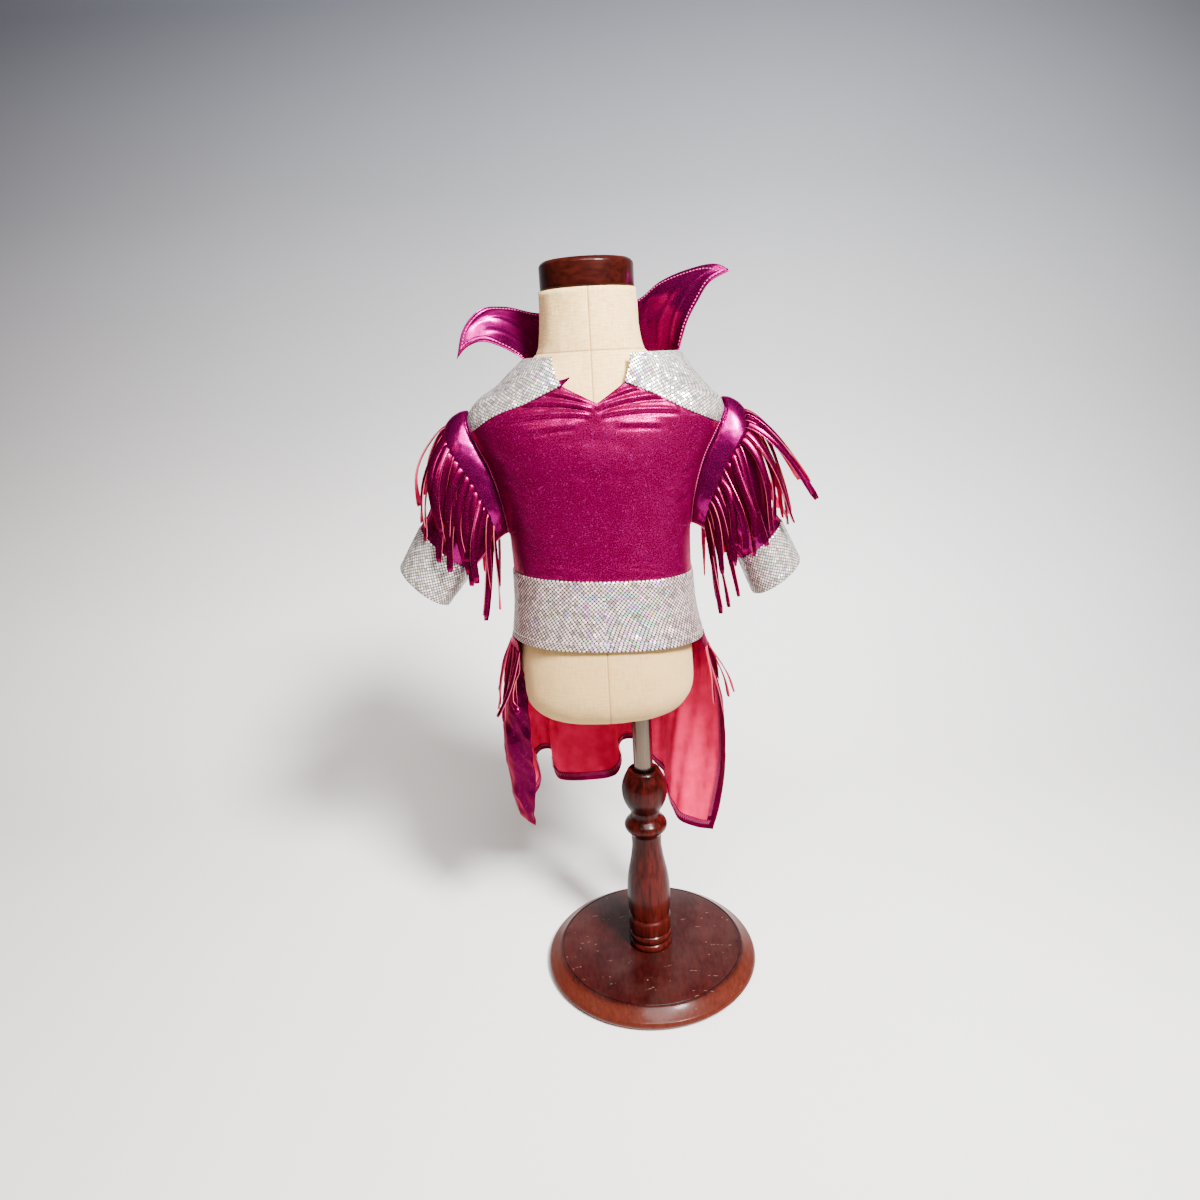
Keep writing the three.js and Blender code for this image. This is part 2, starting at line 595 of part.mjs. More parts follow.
function gatherDepth(point) {
  let depth = 0;
  for (const fold of GATHERS) {
    const down = (fold.z - point.z) / fold.length;
    const aside = (point.x - fold.x + fold.lean * (fold.z - point.z)) / fold.width;
    depth += fold.depth * Math.exp(-(aside ** 2)) * Math.exp(-((2 * down) ** 2));
  }
  return depth;
}

function bodicePanel(map, { columns, rows, folds }) {
  const normal = (u, v) => clothNormal(...map(u, v));
  const point = (u, v) => {
    const place = clothPoint(...map(u, v));
    const depth = folds ? gatherDepth(place) * Math.min(1, 6 * (1 - v)) : 0;
    return place.addScaledVector(normal(u, v), -depth);
  };
  const inside = (u, v) => point(u, v).addScaledVector(normal(u, v), -CLOTH);
  return wall({ columns, rows, point, inside });
}

const PANEL_COLUMNS = 24;
const PANEL_ROWS = 9;
const SEAM_COLUMNS = 9; // columns of a panel along each yoke's edge
const EDGE_SHARE = (2 * SEAM_COLUMNS) / PANEL_COLUMNS; // of half the panel's upper edge

// Upper edge of the belly panel: neck notch in the middle, and a yoke's seam each side.
function bellyTop(u) {
  const out = Math.abs(2 * u - 1);
  const side = u < 0.5 ? 'left' : 'right';
  const gap = SEAM / 2;
  if (out > 1 - EDGE_SHARE) {
    const [degrees, z] = frontSeam(side, (out - 1 + EDGE_SHARE) / EDGE_SHARE);
    return [degrees, z - gap];
  }
  const t = out / (1 - EDGE_SHARE);
  const z = lerp(NECK_NOTCH.z, YOKE_CORNER.z, t) - gap;
  const x = lerp(NECK_NOTCH.x, sideSign[side] * YOKE_CORNER.x, t);
  return [angleAt(x, z), z];
}

function bellyPanel() {
  const low = (u) => {
    const degrees = lerp(-90 + SIDE_GAP, 90 - SIDE_GAP, u);
    return [degrees, bandTopUnder(degrees)];
  };
  const turnAt = (side) => armholeTurn(tableValue(YOKE_EDGE[side], 'out', 'z', 1));
  const left = panelSide('left', 0, turnAt('left'));
  const right = panelSide('right', 0, turnAt('right'));
  const map = spanned(left, right, low, bellyTop);
  return bodicePanel(map, { columns: PANEL_COLUMNS, rows: PANEL_ROWS, folds: true });
}

// The back panel's angles run from its left side, at -270 degrees, to its right, at -90.
function backPanel() {
  const wrap = ([degrees, z]) => [degrees > 0 ? degrees - 360 : degrees, z];
  const low = (u) => {
    const degrees = lerp(-270 + SIDE_GAP, -90 - SIDE_GAP, u);
    return [degrees, bandTopUnder(degrees)];
  };
  const high = (u) => {
    const out = Math.abs(2 * u - 1);
    const side = u < 0.5 ? 'right' : 'left';
    if (out > 1 - EDGE_SHARE) {
      const [degrees, z] = backSeam(side, (out - 1 + EDGE_SHARE) / EDGE_SHARE);
      return wrap([degrees + sideSign[side] * YOKE_BACK_GAP, z]);
    }
    const reach = (180 - YOKE_BACK_ANGLE - YOKE_BACK_GAP) * (out / (1 - EDGE_SHARE));
    return [-180 + (u < 0.5 ? -reach : reach), NECK_SEAM_Z];
  };
  const rightSide = panelSide('right', 180, 360 - YOKE_BACK_END);
  const leftSide = panelSide('left', 180, 360 - YOKE_BACK_END);
  const map = spanned((v) => wrap(rightSide(v)), leftSide, low, high);
  return bodicePanel(map, { columns: PANEL_COLUMNS, rows: PANEL_ROWS, folds: false });
}

// Neck edge of a yoke: up from its inner corner, then level round the neck to the back.
function yokeNeckEdge(side, v) {
  const cornerShare = 0.25;
  const topAngle = angleAt(sideSign[side] * YOKE_TOP_CORNER_X, NECK_SEAM_Z);
  if (v < cornerShare) {
    const t = v / cornerShare;
    const low = frontSeam(side, 0);
    return [lerp(low[0], topAngle, t), lerp(YOKE_CORNER.z, NECK_SEAM_Z, t)];
  }
  const t = (v - cornerShare) / (1 - cornerShare);
  return [lerp(topAngle, sideSign[side] * YOKE_BACK_ANGLE, t), NECK_SEAM_Z];
}

function yoke(side) {
  const sign = sideSign[side];
  const lastTurn = -YOKE_BACK_END;
  const firstTurn = armholeTurn(tableValue(YOKE_EDGE[side], 'out', 'z', 1));
  const low = (u) => {
    const [degrees, z] = frontSeam(side, u);
    return [degrees, z + SEAM / 2];
  };
  const high = (u) => {
    const [degrees, z] = backSeam(side, u);
    return [degrees - sign * YOKE_BACK_GAP, z];
  };
  const armEdge = (v) => armholeEdge(side, lerp(firstTurn, lastTurn, v));
  const map = spanned((v) => yokeNeckEdge(side, v), armEdge, low, high);
  return bodicePanel(map, { columns: SEAM_COLUMNS, rows: 12, folds: false });
}

// --------------------------------------------------------------------------- waistband
function bandPoint(degrees, down, grow = 0) {
  const size = {};
  for (const side of ['left', 'right', 'front', 'back']) {
    size[side] = tableValue(BAND_SECTIONS, 'down', side, down) + grow;
  }
  const place = sectionPoint(degrees, 0, size, squareness(0));
  place.z = lerp(BAND_TOP_Z, BAND_BOTTOM_Z, down) + BAND_TILT * place.x;
  return place;
}

function waistband() {
  const point = (u, v) => bandPoint(-360 * u, v);
  const inside = (u, v) => bandPoint(-360 * u, v, -DOUBLED);
  return wall({ columns: 44, rows: 2, point, inside, loop: true });
}

// ----------------------------------------------------------------------------- sleeves
// Ring of a cuff's edge: its centre, the way out along its width, and its plane's normal.
function cuffRing(side, edge) {
  const at = CUFFS[side][edge];
  const outer = vector(at.outerX, CUFF_Y, at.outerZ);
  const inner = vector(at.innerX, CUFF_Y, at.innerZ);
  const centre = outer.clone().lerp(inner, 0.5);
  const half = outer.clone().sub(centre);
  const sign = sideSign[side];
  const along = vector(half.z * sign, 0, -half.x * sign).normalize();
  return { centre, half, along, depth: CUFF_DEPTH[edge] };
}

function ringPoint(ring, turn, grow = 0) {
  const angle = degToRad(turn);
  const scale = 1 + grow / ring.half.length();
  return ring.centre.clone().addScaledVector(ring.half, scale * Math.cos(angle))
    .add(vector(0, -(ring.depth + grow) * Math.sin(angle), 0));
}

// Sleeve: from the armhole it runs out, then turns down into the cuff. grow moves the
// surface out from the sleeve's outside, so that -CLOTH gives its inside.
function sleevePoint(side, turn, t, grow = 0) {
  const sign = sideSign[side];
  const top = (1 + Math.cos(degToRad(turn))) / 2;
  const forward = Math.sin(degToRad(turn));
  const [degrees, z] = armholeEdge(side, turn, 1 + grow);
  const root = clothPoint(degrees, z).addScaledVector(clothNormal(degrees, z), ROOT_CLEAR);
  const ring = cuffRing(side, 'top');
  const end = ringPoint(ring, turn, grow + CUFF_STEP.sleeve).addScaledVector(ring.along, -SEAM / 2);
  const reach = lerp(SLEEVE_REACH.under, SLEEVE_REACH.top, top);
  const drop = lerp(SLEEVE_DROP.under, SLEEVE_DROP.top, top);
  const first = root.clone().add(
    vector(sign * reach, -SLEEVE_SPREAD.forward * forward, -SLEEVE_SPREAD.fall * reach),
  );
  const second = end.clone().addScaledVector(ring.along, -drop);
  const fold = SLEEVE_FOLDS.depth * Math.sin(Math.PI * t)
    * Math.cos(degToRad(SLEEVE_FOLDS.count * turn + SLEEVE_FOLDS.twist * t));
  const outward = vector(sign * Math.cos(degToRad(turn)), -forward, 0.4).normalize();
  return new THREE.CubicBezierCurve3(root, first, second, end).getPoint(t)
    .addScaledVector(outward, fold);
}

const SLEEVE_COLUMNS = 24;
const SLEEVE_ROWS = 8;

function sleeve(side) {
  return wall({
    columns: SLEEVE_COLUMNS,
    rows: SLEEVE_ROWS,
    point: (u, v) => sleevePoint(side, 360 * u, v),
    inside: (u, v) => sleevePoint(side, 360 * u, v, -CLOTH),
    loop: true,
  });
}

function cuff(side) {
  const [top, end] = [cuffRing(side, 'top'), cuffRing(side, 'end')];
  const surface = (grow) => (u, v) => {
    const high = ringPoint(top, 360 * u, grow + CUFF_STEP.cuff).addScaledVector(top.along, SEAM / 2);
    return high.lerp(ringPoint(end, 360 * u, grow), v);
  };
  return wall({
    columns: SLEEVE_COLUMNS, rows: 2, point: surface(0), inside: surface(-DOUBLED), loop: true,
  });
}

// ------------------------------------------------------------------------------ collar
function collarWing(side) {
  const sign = sideSign[side];
  const { top, front } = COLLAR[side];
  const footAt = (u) => clothPoint(sign * lerp(179.7, 90, u), NECK_SEAM_Z)
    .setZ(NECK_SEAM_Z + SEAM);
  const back = footAt(0);
  const topEdge = new THREE.CatmullRomCurve3([
    vector(back.x, top[0][1], top[0][2]), ...top.slice(1).map((place) => vector(...place)),
  ]);
  const frontEdge = new THREE.CatmullRomCurve3([
    footAt(1), ...front.map((place) => vector(...place)),
  ]);
  const map = spanned(
    (v) => back.clone().lerp(topEdge.getPoint(0), v).toArray(),
    (v) => frontEdge.getPoint(v).toArray(),
    (u) => footAt(u).toArray(),
    (u) => topEdge.getPoint(u).toArray(),
  );
  const point = (u, v) => vector(...map(u, v));
  const inside = within(point, DOUBLED, side === 'left');
  return wall({ columns: 12, rows: 7, point, inside });
}

// ---------------------------------------------------------------------- skirt and fringe
const skirtAngle = (u) => SKIRT_START + SKIRT_SWEEP * u;

// Pushes a point out of the form's hips, so that the cloth hangs over them.
function clearOfForm(place, gap) {
  if (place.z < FORM_BOTTOM - 4) return place;
  const size = formSize(Math.max(place.z, FORM_BOTTOM));
  const power = squareness(place.z);
  const across = Math.abs(place.x) / (size.right + gap);
  const deep = Math.abs(place.y) / (size.back + gap);
  const reach = (across ** power + deep ** power) ** (1 / power);
  if (reach >= 1) return place;
  return place.setX(place.x / reach).setY(place.y / reach);
}

// Upper edge of the skirt, just inside the waistband's lower edge.
function skirtTop(degrees) {
  const top = bandPoint(degrees, 1, -SKIRT_TUCK);
  return top.setZ(top.z - SEAM);
}

function skirtPoint(u, v) {
  const row = (column) => tableValue(SKIRT_ROWS, 'share', column, u);
  const top = skirtTop(skirtAngle(u));
  const [first, middle, last] = [(1 - v) * (1 - 2 * v), 4 * v * (1 - v), v * (2 * v - 1)];
  const x = first * top.x + middle * row('midX') + last * row('hemX');
  const y = first * top.y + middle * row('midY') + last * row('hemY');
  return clearOfForm(vector(x, y, lerp(top.z, row('hemZ'), v)), HIP_CLEAR);
}

const SKIRT_COLUMNS = 50;
const SKIRT_ROW_COUNT = 8;

const SKIRT_BACK_SEAM = 0.5; // share along, where its two halves are sewn together
const SKIRT_BACK_GAP = 0.0003; // share from that seam's middle to each half

// One half of the skirt, on the whole skirt's columns.
function skirt(side) {
  const along = side === 'left'
    ? (u) => Math.min(lerp(0, SKIRT_BACK_SEAM, u), SKIRT_BACK_SEAM - SKIRT_BACK_GAP)
    : (u) => Math.max(lerp(SKIRT_BACK_SEAM, 1, u), SKIRT_BACK_SEAM + SKIRT_BACK_GAP);
  const point = (u, v) => skirtPoint(along(u), v);
  return wall({
    columns: SKIRT_COLUMNS / 2, rows: SKIRT_ROW_COUNT, point, inside: within(point, CLOTH),
  });
}

// Uneven lengths for cut strands, repeating slowly along the seam.
const uneven = (k) => 0.5 + 0.5 * Math.sin(2.4 * k + 1.3 * Math.sin(0.9 * k));

// Sleeve fringe: its strip lies on the sleeve's own columns and rows, moved out.
function sleeveFringe(side) {
  const { strands, from, to, rows } = SLEEVE_FRINGE;
  const { travel, drop } = SLEEVE_HANG;
  const { drift, lift } = SLEEVE_HANG[side];
  const flip = side === 'left';
  const turnAt = (u) => 360 * u - 180; // the grid starts and ends under the arm
  const grid = sampled((u, v) => sleevePoint(side, turnAt(u), v), SLEEVE_COLUMNS, SLEEVE_ROWS, flip);
  const over = (turn, t, off) => overGrid(grid, (turn + 180) / 360, t, off);
  const reach = rows / SLEEVE_ROWS;
  return comb({
    strands,
    rows,
    steps: 4,
    strip: (u, v, off) => over(lerp(from, to, u), lerp(0.02, reach, v), off),
    hang: (k, u, q, off) => {
      const turn = lerp(from, to, u);
      const under = clamp((Math.abs(turn) - 55) / 80, 0, 1);
      const ahead = clamp(turn / 25, -1, 1);
      const along = lerp(travel.over, travel.under, under) + travel.uneven * uneven(k);
      const fall = lerp(drop.over, drop.under, under) + drop.uneven * uneven(k + 5);
      const raise = (lift * (1 - under) + 4) * q + 1.5 * Math.sin(Math.PI * q);
      const place = over(turn + drift * ahead * (1 - under) * q, reach + along * q, off + raise);
      return place.add(vector(0, -ahead * 10 * under * q, -fall * q ** 1.5));
    },
  });
}

// Waist fringe: it hangs from under the waistband, on the skirt's outside and a little
// past its two front edges, where it hangs free.
function waistFringe() {
  const { strands, from, sweep, depth, top } = WAIST_FRINGE;
  const grid = sampled((u, v) => skirtPoint(u, v), SKIRT_COLUMNS, SKIRT_ROW_COUNT, false);
  const alongAt = (u) => (from + sweep * u - SKIRT_START) / SKIRT_SWEEP;
  // A point so far down the skirt's outside, or beside its edge where it has ended.
  const onSkirt = (along, drop, off) => {
    const near = clamp(along, 0, 1);
    const past = skirtTop(skirtAngle(along)).sub(skirtTop(skirtAngle(near)));
    const height = BAND_BOTTOM_Z - skirtPoint(near, 1).z;
    return overGrid(grid, near, drop / height, off).add(past);
  };
  return comb({
    strands,
    rows: 1,
    steps: 3,
    strip: (u, v, off) => onSkirt(alongAt(u), top + depth * v, off),
    hang: (k, u, q, off) => {
      const middle = alongAt((k + 0.5) / strands);
      const length = WAIST_HANG.length + WAIST_HANG.uneven * uneven(k);
      if (middle > -0.012 && middle < 1.012) {
        return onSkirt(alongAt(u), top + depth + length * q, off + WAIST_HANG.lift * q);
      }
      const swing = middle < 0.5 ? -FREE_SWING.left : FREE_SWING.right;
      const fall = vector(swing * q, -FREE_SWING.forward * q, -length * q);
      return onSkirt(alongAt(u), top + depth, off).add(fall);
    },
  });
}

// ---------------------------------------------------------------------------- assembly
const costume = new THREE.Group();
const dressed = new THREE.Group();
dressed.position.x = FORM_X;
costume.add(dressed);

function place(group, name, geometry, material) {
  const mesh = new THREE.Mesh(geometry, MATERIALS[material]);
  mesh.name = name;
  group.add(mesh);
}

place(costume, 'stand_base', standBase(), 'mahogany');
place(costume, 'stand_column', standColumn(), 'mahogany');
place(costume, 'stand_pole', standPole(), 'chrome');
place(dressed, 'form_body', formBody(), 'linen');
place(dressed, 'form_cap', formCap(), 'mahogany');
place(dressed, 'belly_panel', bellyPanel(), 'magenta');
place(dressed, 'back_panel', backPanel(), 'magenta');
place(dressed, 'waistband', waistband(), 'silver');
place(dressed, 'waist_fringe', waistFringe(), 'magenta');
for (const side of ['left', 'right']) {
  place(dressed, `skirt_${side}`, skirt(side), 'magenta');
  place(dressed, `yoke_${side}`, yoke(side), 'silver');
  place(dressed, `collar_${side}`, collarWing(side), 'magenta');
  place(dressed, `sleeve_${side}`, sleeve(side), 'magenta');
  place(dressed, `cuff_${side}`, cuff(side), 'silver');
  place(dressed, `sleeve_fringe_${side}`, sleeveFringe(side), 'magenta');
}

export default costume;
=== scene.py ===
"""Show dress for a small dog, dressed on a child-size form on a turned wooden stand.

Metres, +Z up, belly side towards -Y. Sizes in the sections are in millimetres from the
form's centre line, which stands to the left of the pole.
"""

import math

import bpy
import numpy as np
from mathutils import Matrix, Vector


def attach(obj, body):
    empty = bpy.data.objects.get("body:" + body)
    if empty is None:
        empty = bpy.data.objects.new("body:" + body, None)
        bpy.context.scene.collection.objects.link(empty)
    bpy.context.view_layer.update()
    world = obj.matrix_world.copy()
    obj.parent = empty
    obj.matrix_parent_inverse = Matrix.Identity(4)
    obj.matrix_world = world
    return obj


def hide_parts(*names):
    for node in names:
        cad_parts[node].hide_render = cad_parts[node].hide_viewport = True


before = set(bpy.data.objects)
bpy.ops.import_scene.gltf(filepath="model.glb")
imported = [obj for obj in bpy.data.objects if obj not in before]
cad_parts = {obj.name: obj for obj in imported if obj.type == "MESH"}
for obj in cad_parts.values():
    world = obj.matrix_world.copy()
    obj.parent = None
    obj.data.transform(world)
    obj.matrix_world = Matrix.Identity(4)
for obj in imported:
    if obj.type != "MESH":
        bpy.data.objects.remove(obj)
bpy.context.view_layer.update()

# ------------------------------------------------------------------ camera, room, light
# A pale studio whose floor curves up into its wall, its paper darkened upwards and to the sides
# with painted shade: a strong light to the right in front, a broad one above in front, a weak
# warm one to the left, and a dim warm sky.
CAMERA_PLACE = (-0.04128, -0.85788, 0.6882)
CAMERA_PITCH = 15.01
CAMERA_ROLL = -3.22
SENSOR_WIDTH, LENS_LENGTH = 36, 24.96
SHIFT_X, SHIFT_Y = 0.0025, -0.0075
NEAREST = 0.02

lens = bpy.data.cameras.new("camera")
lens.sensor_width = SENSOR_WIDTH
lens.lens = LENS_LENGTH
lens.shift_x = SHIFT_X
lens.shift_y = SHIFT_Y
lens.clip_start = NEAREST
camera = bpy.data.objects.new("camera", lens)
camera.matrix_world = (
    Matrix.Translation(CAMERA_PLACE)
    @ Matrix.Rotation(math.radians(90 - CAMERA_PITCH), 4, "X")
    @ Matrix.Rotation(math.radians(CAMERA_ROLL), 4, "Z")
)
bpy.context.scene.collection.objects.link(camera)
bpy.context.scene.camera = camera


def new_material(name):
    """Empty node material and its tree."""
    made = bpy.data.materials.new(name)
    made.use_nodes = True
    made.node_tree.nodes.clear()
    return made, made.node_tree


def put(tree, kind, inputs=None, **settings):
    """Adds a node: a value sets an input, and a socket is linked to it."""
    made = tree.nodes.new(kind)
    for key, value in settings.items():
        setattr(made, key, value)
    for key, value in (inputs or {}).items():
        if isinstance(value, bpy.types.NodeSocket):
            tree.links.new(value, made.inputs[key])
        else:
            made.inputs[key].default_value = value
    return made


def surfaced(material, inputs):
    """Gives the material one principled shader with these inputs."""
    shader = put(material.node_tree, "ShaderNodeBsdfPrincipled", inputs)
    put(material.node_tree, "ShaderNodeOutputMaterial", {"Surface": shader.outputs[0]})
    return material


def ramp(tree, value, stops):
    """Colour ramp over a value: stops are (place, colour)."""
    made = put(tree, "ShaderNodeValToRGB", {"Fac": value})
    elements = made.color_ramp.elements
    while len(elements) < len(stops):
        elements.new(0.5)
    for element, (place, color) in zip(elements, stops):
        element.position = place
        element.color = (*color, 1)
    return made.outputs["Color"]


def calc(tree, operation, *values):
    """Math node over values and sockets."""
    return put(tree, "ShaderNodeMath", dict(enumerate(values)), operation=operation).outputs[0]


def remap(tree, value, low, high, to_low=0.0, to_high=1.0):
    """Value carried from one range to another, and held inside it."""
    return put(tree, "ShaderNodeMapRange", {
        0: value, 1: low, 2: high, 3: to_low, 4: to_high}).outputs[0]


def noise(tree, place, scale, detail=2.0, roughness=0.5):
    """Fractal noise over a place, around a half."""
    return put(tree, "ShaderNodeTexNoise", {
        "Vector": place, "Scale": scale, "Detail": detail, "Roughness": roughness,
    }).outputs["Fac"]


def axes(tree, place):
    """The X, Y and Z of a place."""
    return put(tree, "ShaderNodeSeparateXYZ", {0: place}).outputs


def blend_colors(tree, factor, first, second, how="MIX"):
    """Mix of two colours, each a colour or a socket."""
    opaque = lambda color: (*color, 1) if isinstance(color, tuple) else color
    return put(tree, "ShaderNodeMix", {0: factor, 6: opaque(first), 7: opaque(second)},
               data_type="RGBA", blend_type=how).outputs[2]


PAPER_HEIGHT = 1.5
PAPER_PAINTED_SHADE = [
    # share of the height, tone with painted shade
    (0.0, (0.86, 0.845, 0.83)), (0.13, (0.80, 0.795, 0.79)), (0.43, (0.45, 0.455, 0.468)),
    (0.69, (0.23, 0.24, 0.262)), (0.92, (0.105, 0.112, 0.132)),
]
# Painted shade on the paper towards the left and the right: where each starts and where it is full.
SHADED_LEFT, SHADED_RIGHT = (0.35, -1.3), (0.5, 1.4)  # where each shade starts and is full


def backdrop_paper():
    """Pale paper with painted shade, darker upwards and to both sides, with a faint mottle."""
    made, tree = new_material("backdrop_paper")
    place = put(tree, "ShaderNodeTexCoord").outputs["Object"]
    parts = axes(tree, place)
    height = remap(tree, parts["Z"], 0.0, PAPER_HEIGHT)
    left, right = (remap(tree, parts["X"], *reach) for reach in (SHADED_LEFT, SHADED_RIGHT))
    # Painted shade: the paper is darkened upwards and towards both sides.
    shade = blend_colors(tree, height, (0.74, 0.71, 0.70), (0.42, 0.41, 0.43))
    wall = blend_colors(tree, left, ramp(tree, height, PAPER_PAINTED_SHADE), shade, "MULTIPLY")
    wall = blend_colors(tree, right, wall, (0.80, 0.81, 0.84), "MULTIPLY")
    mottle = ramp(tree, noise(tree, place, 2.2, 4.0), [
        (0.3, (0.96, 0.96, 0.96)), (0.7, (1.0, 1.0, 1.0))])
    return surfaced(made, {
        "Base Color": blend_colors(tree, 1.0, wall, mottle, "MULTIPLY"),
        "Roughness": 0.9, "Specular IOR Level": 0.2,
    })


def studio_room():
    """Floor, cove and back wall as one sheet, swept along X."""
    cove, cove_steps, wall_y, top = 0.55, 12, 0.95, 3.2
    profile = [(-1.1, 0.0), (-0.4, 0.0), (wall_y - cove, 0.0)]
    for step in range(1, cove_steps + 1):
        angle = math.radians(90 * step / cove_steps)
        profile.append((wall_y - cove + cove * math.sin(angle), cove * (1 - math.cos(angle))))
    profile.append((wall_y, top))
    across = [-3.5, -1.2, 0.0, 1.2, 3.5]
    mesh = bpy.data.meshes.new("room")
    points = [(x, y, z) for x in across for y, z in profile]
    rows = len(profile)
    faces = [
        (i * rows + j, (i + 1) * rows + j, (i + 1) * rows + j + 1, i * rows + j + 1)
        for i in range(len(across) - 1) for j in range(rows - 1)
    ]
    mesh.from_pydata(points, [], faces)
    mesh.polygons.foreach_set("use_smooth", [True] * len(faces))
    mesh.materials.append(backdrop_paper())
    room = bpy.data.objects.new("room", mesh)
    bpy.context.scene.collection.objects.link(room)


studio_room()

LIGHTS = {
    # name: place, aim, size, power, colour, spread in degrees
    "key_light": ((0.85, -1.3, 1.95), (0.0, 0.0, 0.74), 0.5, 78, (1.0, 0.99, 0.98), 95),
    "left_light": ((-0.75, -1.3, 1.7), (-0.03, 0.0, 0.7), 0.3, 4, (1.0, 0.72, 0.56), 180),
    "top_light": ((0.12, -1.15, 2.0), (0.05, 0.1, 0.2), 1.0, 58, (1.0, 1.0, 1.0), 180),
}
for name, (place, aim, size, power, color, spread) in LIGHTS.items():
    lamp = bpy.data.lights.new(name, "AREA")
    lamp.shape = "DISK"
    lamp.size = size
    lamp.spread = math.radians(spread)
    lamp.energy = power
    lamp.color = color
    light = bpy.data.objects.new(name, lamp)
    light.location = place
    light.rotation_euler = (Vector(aim) - Vector(place)).to_track_quat("-Z", "Y").to_euler()
    bpy.context.scene.collection.objects.link(light)

SKY_COLOR, SKY_STRENGTH = (1.0, 0.75, 0.65, 1), 0.19
sky = bpy.data.worlds.new("studio")
bpy.context.scene.world = sky
sky.use_nodes = True
light_of_sky = sky.node_tree.nodes["Background"].inputs
light_of_sky["Color"].default_value = SKY_COLOR
light_of_sky["Strength"].default_value = SKY_STRENGTH

# -------------------------------------------------------------------- turned wood, stand
# Foot, column and neck cap are turned from hardwood, stained mahogany and varnished. The
# foot has a rounded edge and one fine groove, and the column carries beads and balusters.
FORM_X = -34.5
MM = 0.001


def smoothed(points, faces, name, materials, uv=None, kinds=None):
    """Object from points in millimetres, smooth shaded. uv is one pair for each point."""
    mesh = bpy.data.meshes.new(name)
    mesh.from_pydata((np.asarray(points) * MM).tolist(), [], [list(face) for face in faces])
    mesh.polygons.foreach_set("use_smooth", [True] * len(faces))
    for material in materials:
        mesh.materials.append(material)
    if kinds is not None:
        mesh.polygons.foreach_set("material_index", [int(kind) for kind in kinds])
    if uv is not None:
        corners = np.zeros(len(mesh.loops), np.int32)
        mesh.loops.foreach_get("vertex_index", corners)
        layer = mesh.uv_layers.new(name="cloth")
        layer.data.foreach_set("uv", np.asarray(uv, np.float32)[corners].ravel())
    made = bpy.data.objects.new(name, mesh)
    bpy.context.scene.collection.objects.link(made)
    return made


def profile_points(rows):
    """Turning profile (radius, height): arcs that bulge from the row before, corners eased."""
    ease, steps, straight = 0.35, 8, -0.985
    line = [(rows[0][1], rows[0][0])]
    for before, row in zip(rows, rows[1:]):
        count = steps if row[2] else 1
        for step in range(1, count + 1):
            t = step / count
            line.append((
                before[1] + (row[1] - before[1]) * t + 4 * row[2] * t * (1 - t),
                before[0] + (row[0] - before[0]) * t,
            ))
    line = [np.array(point, float) for point in line]
    eased = [line[0]]
    for before, here, after in zip(line, line[1:], line[2:]):
        back, on = before - here, after - here
        back_length, on_length = np.linalg.norm(back), np.linalg.norm(on)
        turn = np.dot(back, on) / max(back_length * on_length, 1e-9)
        if turn < straight:
            eased.append(here)
            continue
        cut = min(ease, 0.4 * back_length, 0.4 * on_length)
        eased.append(here + back / back_length * cut)
        eased.append(here + (back / back_length + on / on_length) * cut * 0.3)
        eased.append(here + on / on_length * cut)
    eased.append(line[-1])
    return eased


def turned(name, rows, segments, material, centre_x=0.0):
    """Lathe turning about a vertical axis, closed at both ends."""
    line = profile_points(rows)
    angles = np.radians(np.arange(segments) * 360 / segments)
    points = [(centre_x, 0, line[0][1]), (centre_x, 0, line[-1][1])]
    for radius, z in line:
        points += [(centre_x + radius * math.cos(a), radius * math.sin(a), z) for a in angles]
    ring = lambda k, i: 2 + k * segments + i % segments
    faces = []
    for i in range(segments):
        faces.append((0, ring(0, i + 1), ring(0, i)))
        faces.append((1, ring(len(line) - 1, i), ring(len(line) - 1, i + 1)))
        for k in range(len(line) - 1):
            faces.append((ring(k, i), ring(k, i + 1), ring(k + 1, i + 1), ring(k + 1, i)))
    return smoothed(points, faces, name, [material])


def new_group(name, kind, inputs, outputs):
    """Node group with named sockets, its input node and its output node."""
    group = bpy.data.node_groups.new(name, kind)
    for way, sockets in (("INPUT", inputs), ("OUTPUT", outputs)):
        for label, sort in sockets:
            group.interface.new_socket(label, in_out=way, socket_type="NodeSocket" + sort)
    return group, group.nodes.new("NodeGroupInput"), group.nodes.new("NodeGroupOutput")


def mapped(tree, place, scale, turn=0.0, shift=(0, 0, 0)):
    """Place scaled, turned about Z and shifted."""
    return put(tree, "ShaderNodeMapping", {
        "Vector": place, "Location": shift, "Rotation": (0, 0, turn), "Scale": scale,
    }).outputs[0]


def channels(tree, color):
    """The red, green and blue of a colour."""
    return put(tree, "ShaderNodeSeparateColor", {0: color}).outputs


def bumped(tree, height, strength, distance, **under):
    """The surface's direction with a height on it, over another bump where one is given."""
    return put(tree, "ShaderNodeBump", {
        "Height": height, "Strength": strength, "Distance": distance, **under}).outputs[0]


def grain_group():
    """Wood grain along Z or X, with the stain's blotches. Scale 1 suits a piece of 100 mm."""
    group, ends, out = new_group(
        "wood_grain", "ShaderNodeTree",
        [("Place", "Vector"), ("Dark", "Color"), ("Light", "Color")],
        [("Color", "Color"), ("Height", "Float")])
    given = ends.outputs
    lines = noise(group, given["Place"], 260.0, 5.0, 0.62)
    blotch = noise(group, given["Place"], 26.0, 3.0)
    level = remap(group, calc(group, "MULTIPLY", lines, blotch), 0.16, 0.36)
    color = blend_colors(group, level, given["Dark"], given["Light"])
    group.links.new(color, out.inputs["Color"])
    group.links.new(lines, out.inputs["Height"])
    return group


WOOD_GRAIN = grain_group()
VARNISH_ROUGH = 0.3
GROOVE_RADIUS = 0.1058  # metres, of the fine groove on the foot
FIBRE_LAYERS = ((0.5, 0.0), (2.1, 0.37), (3.9, 0.81))  # turn and shift of each


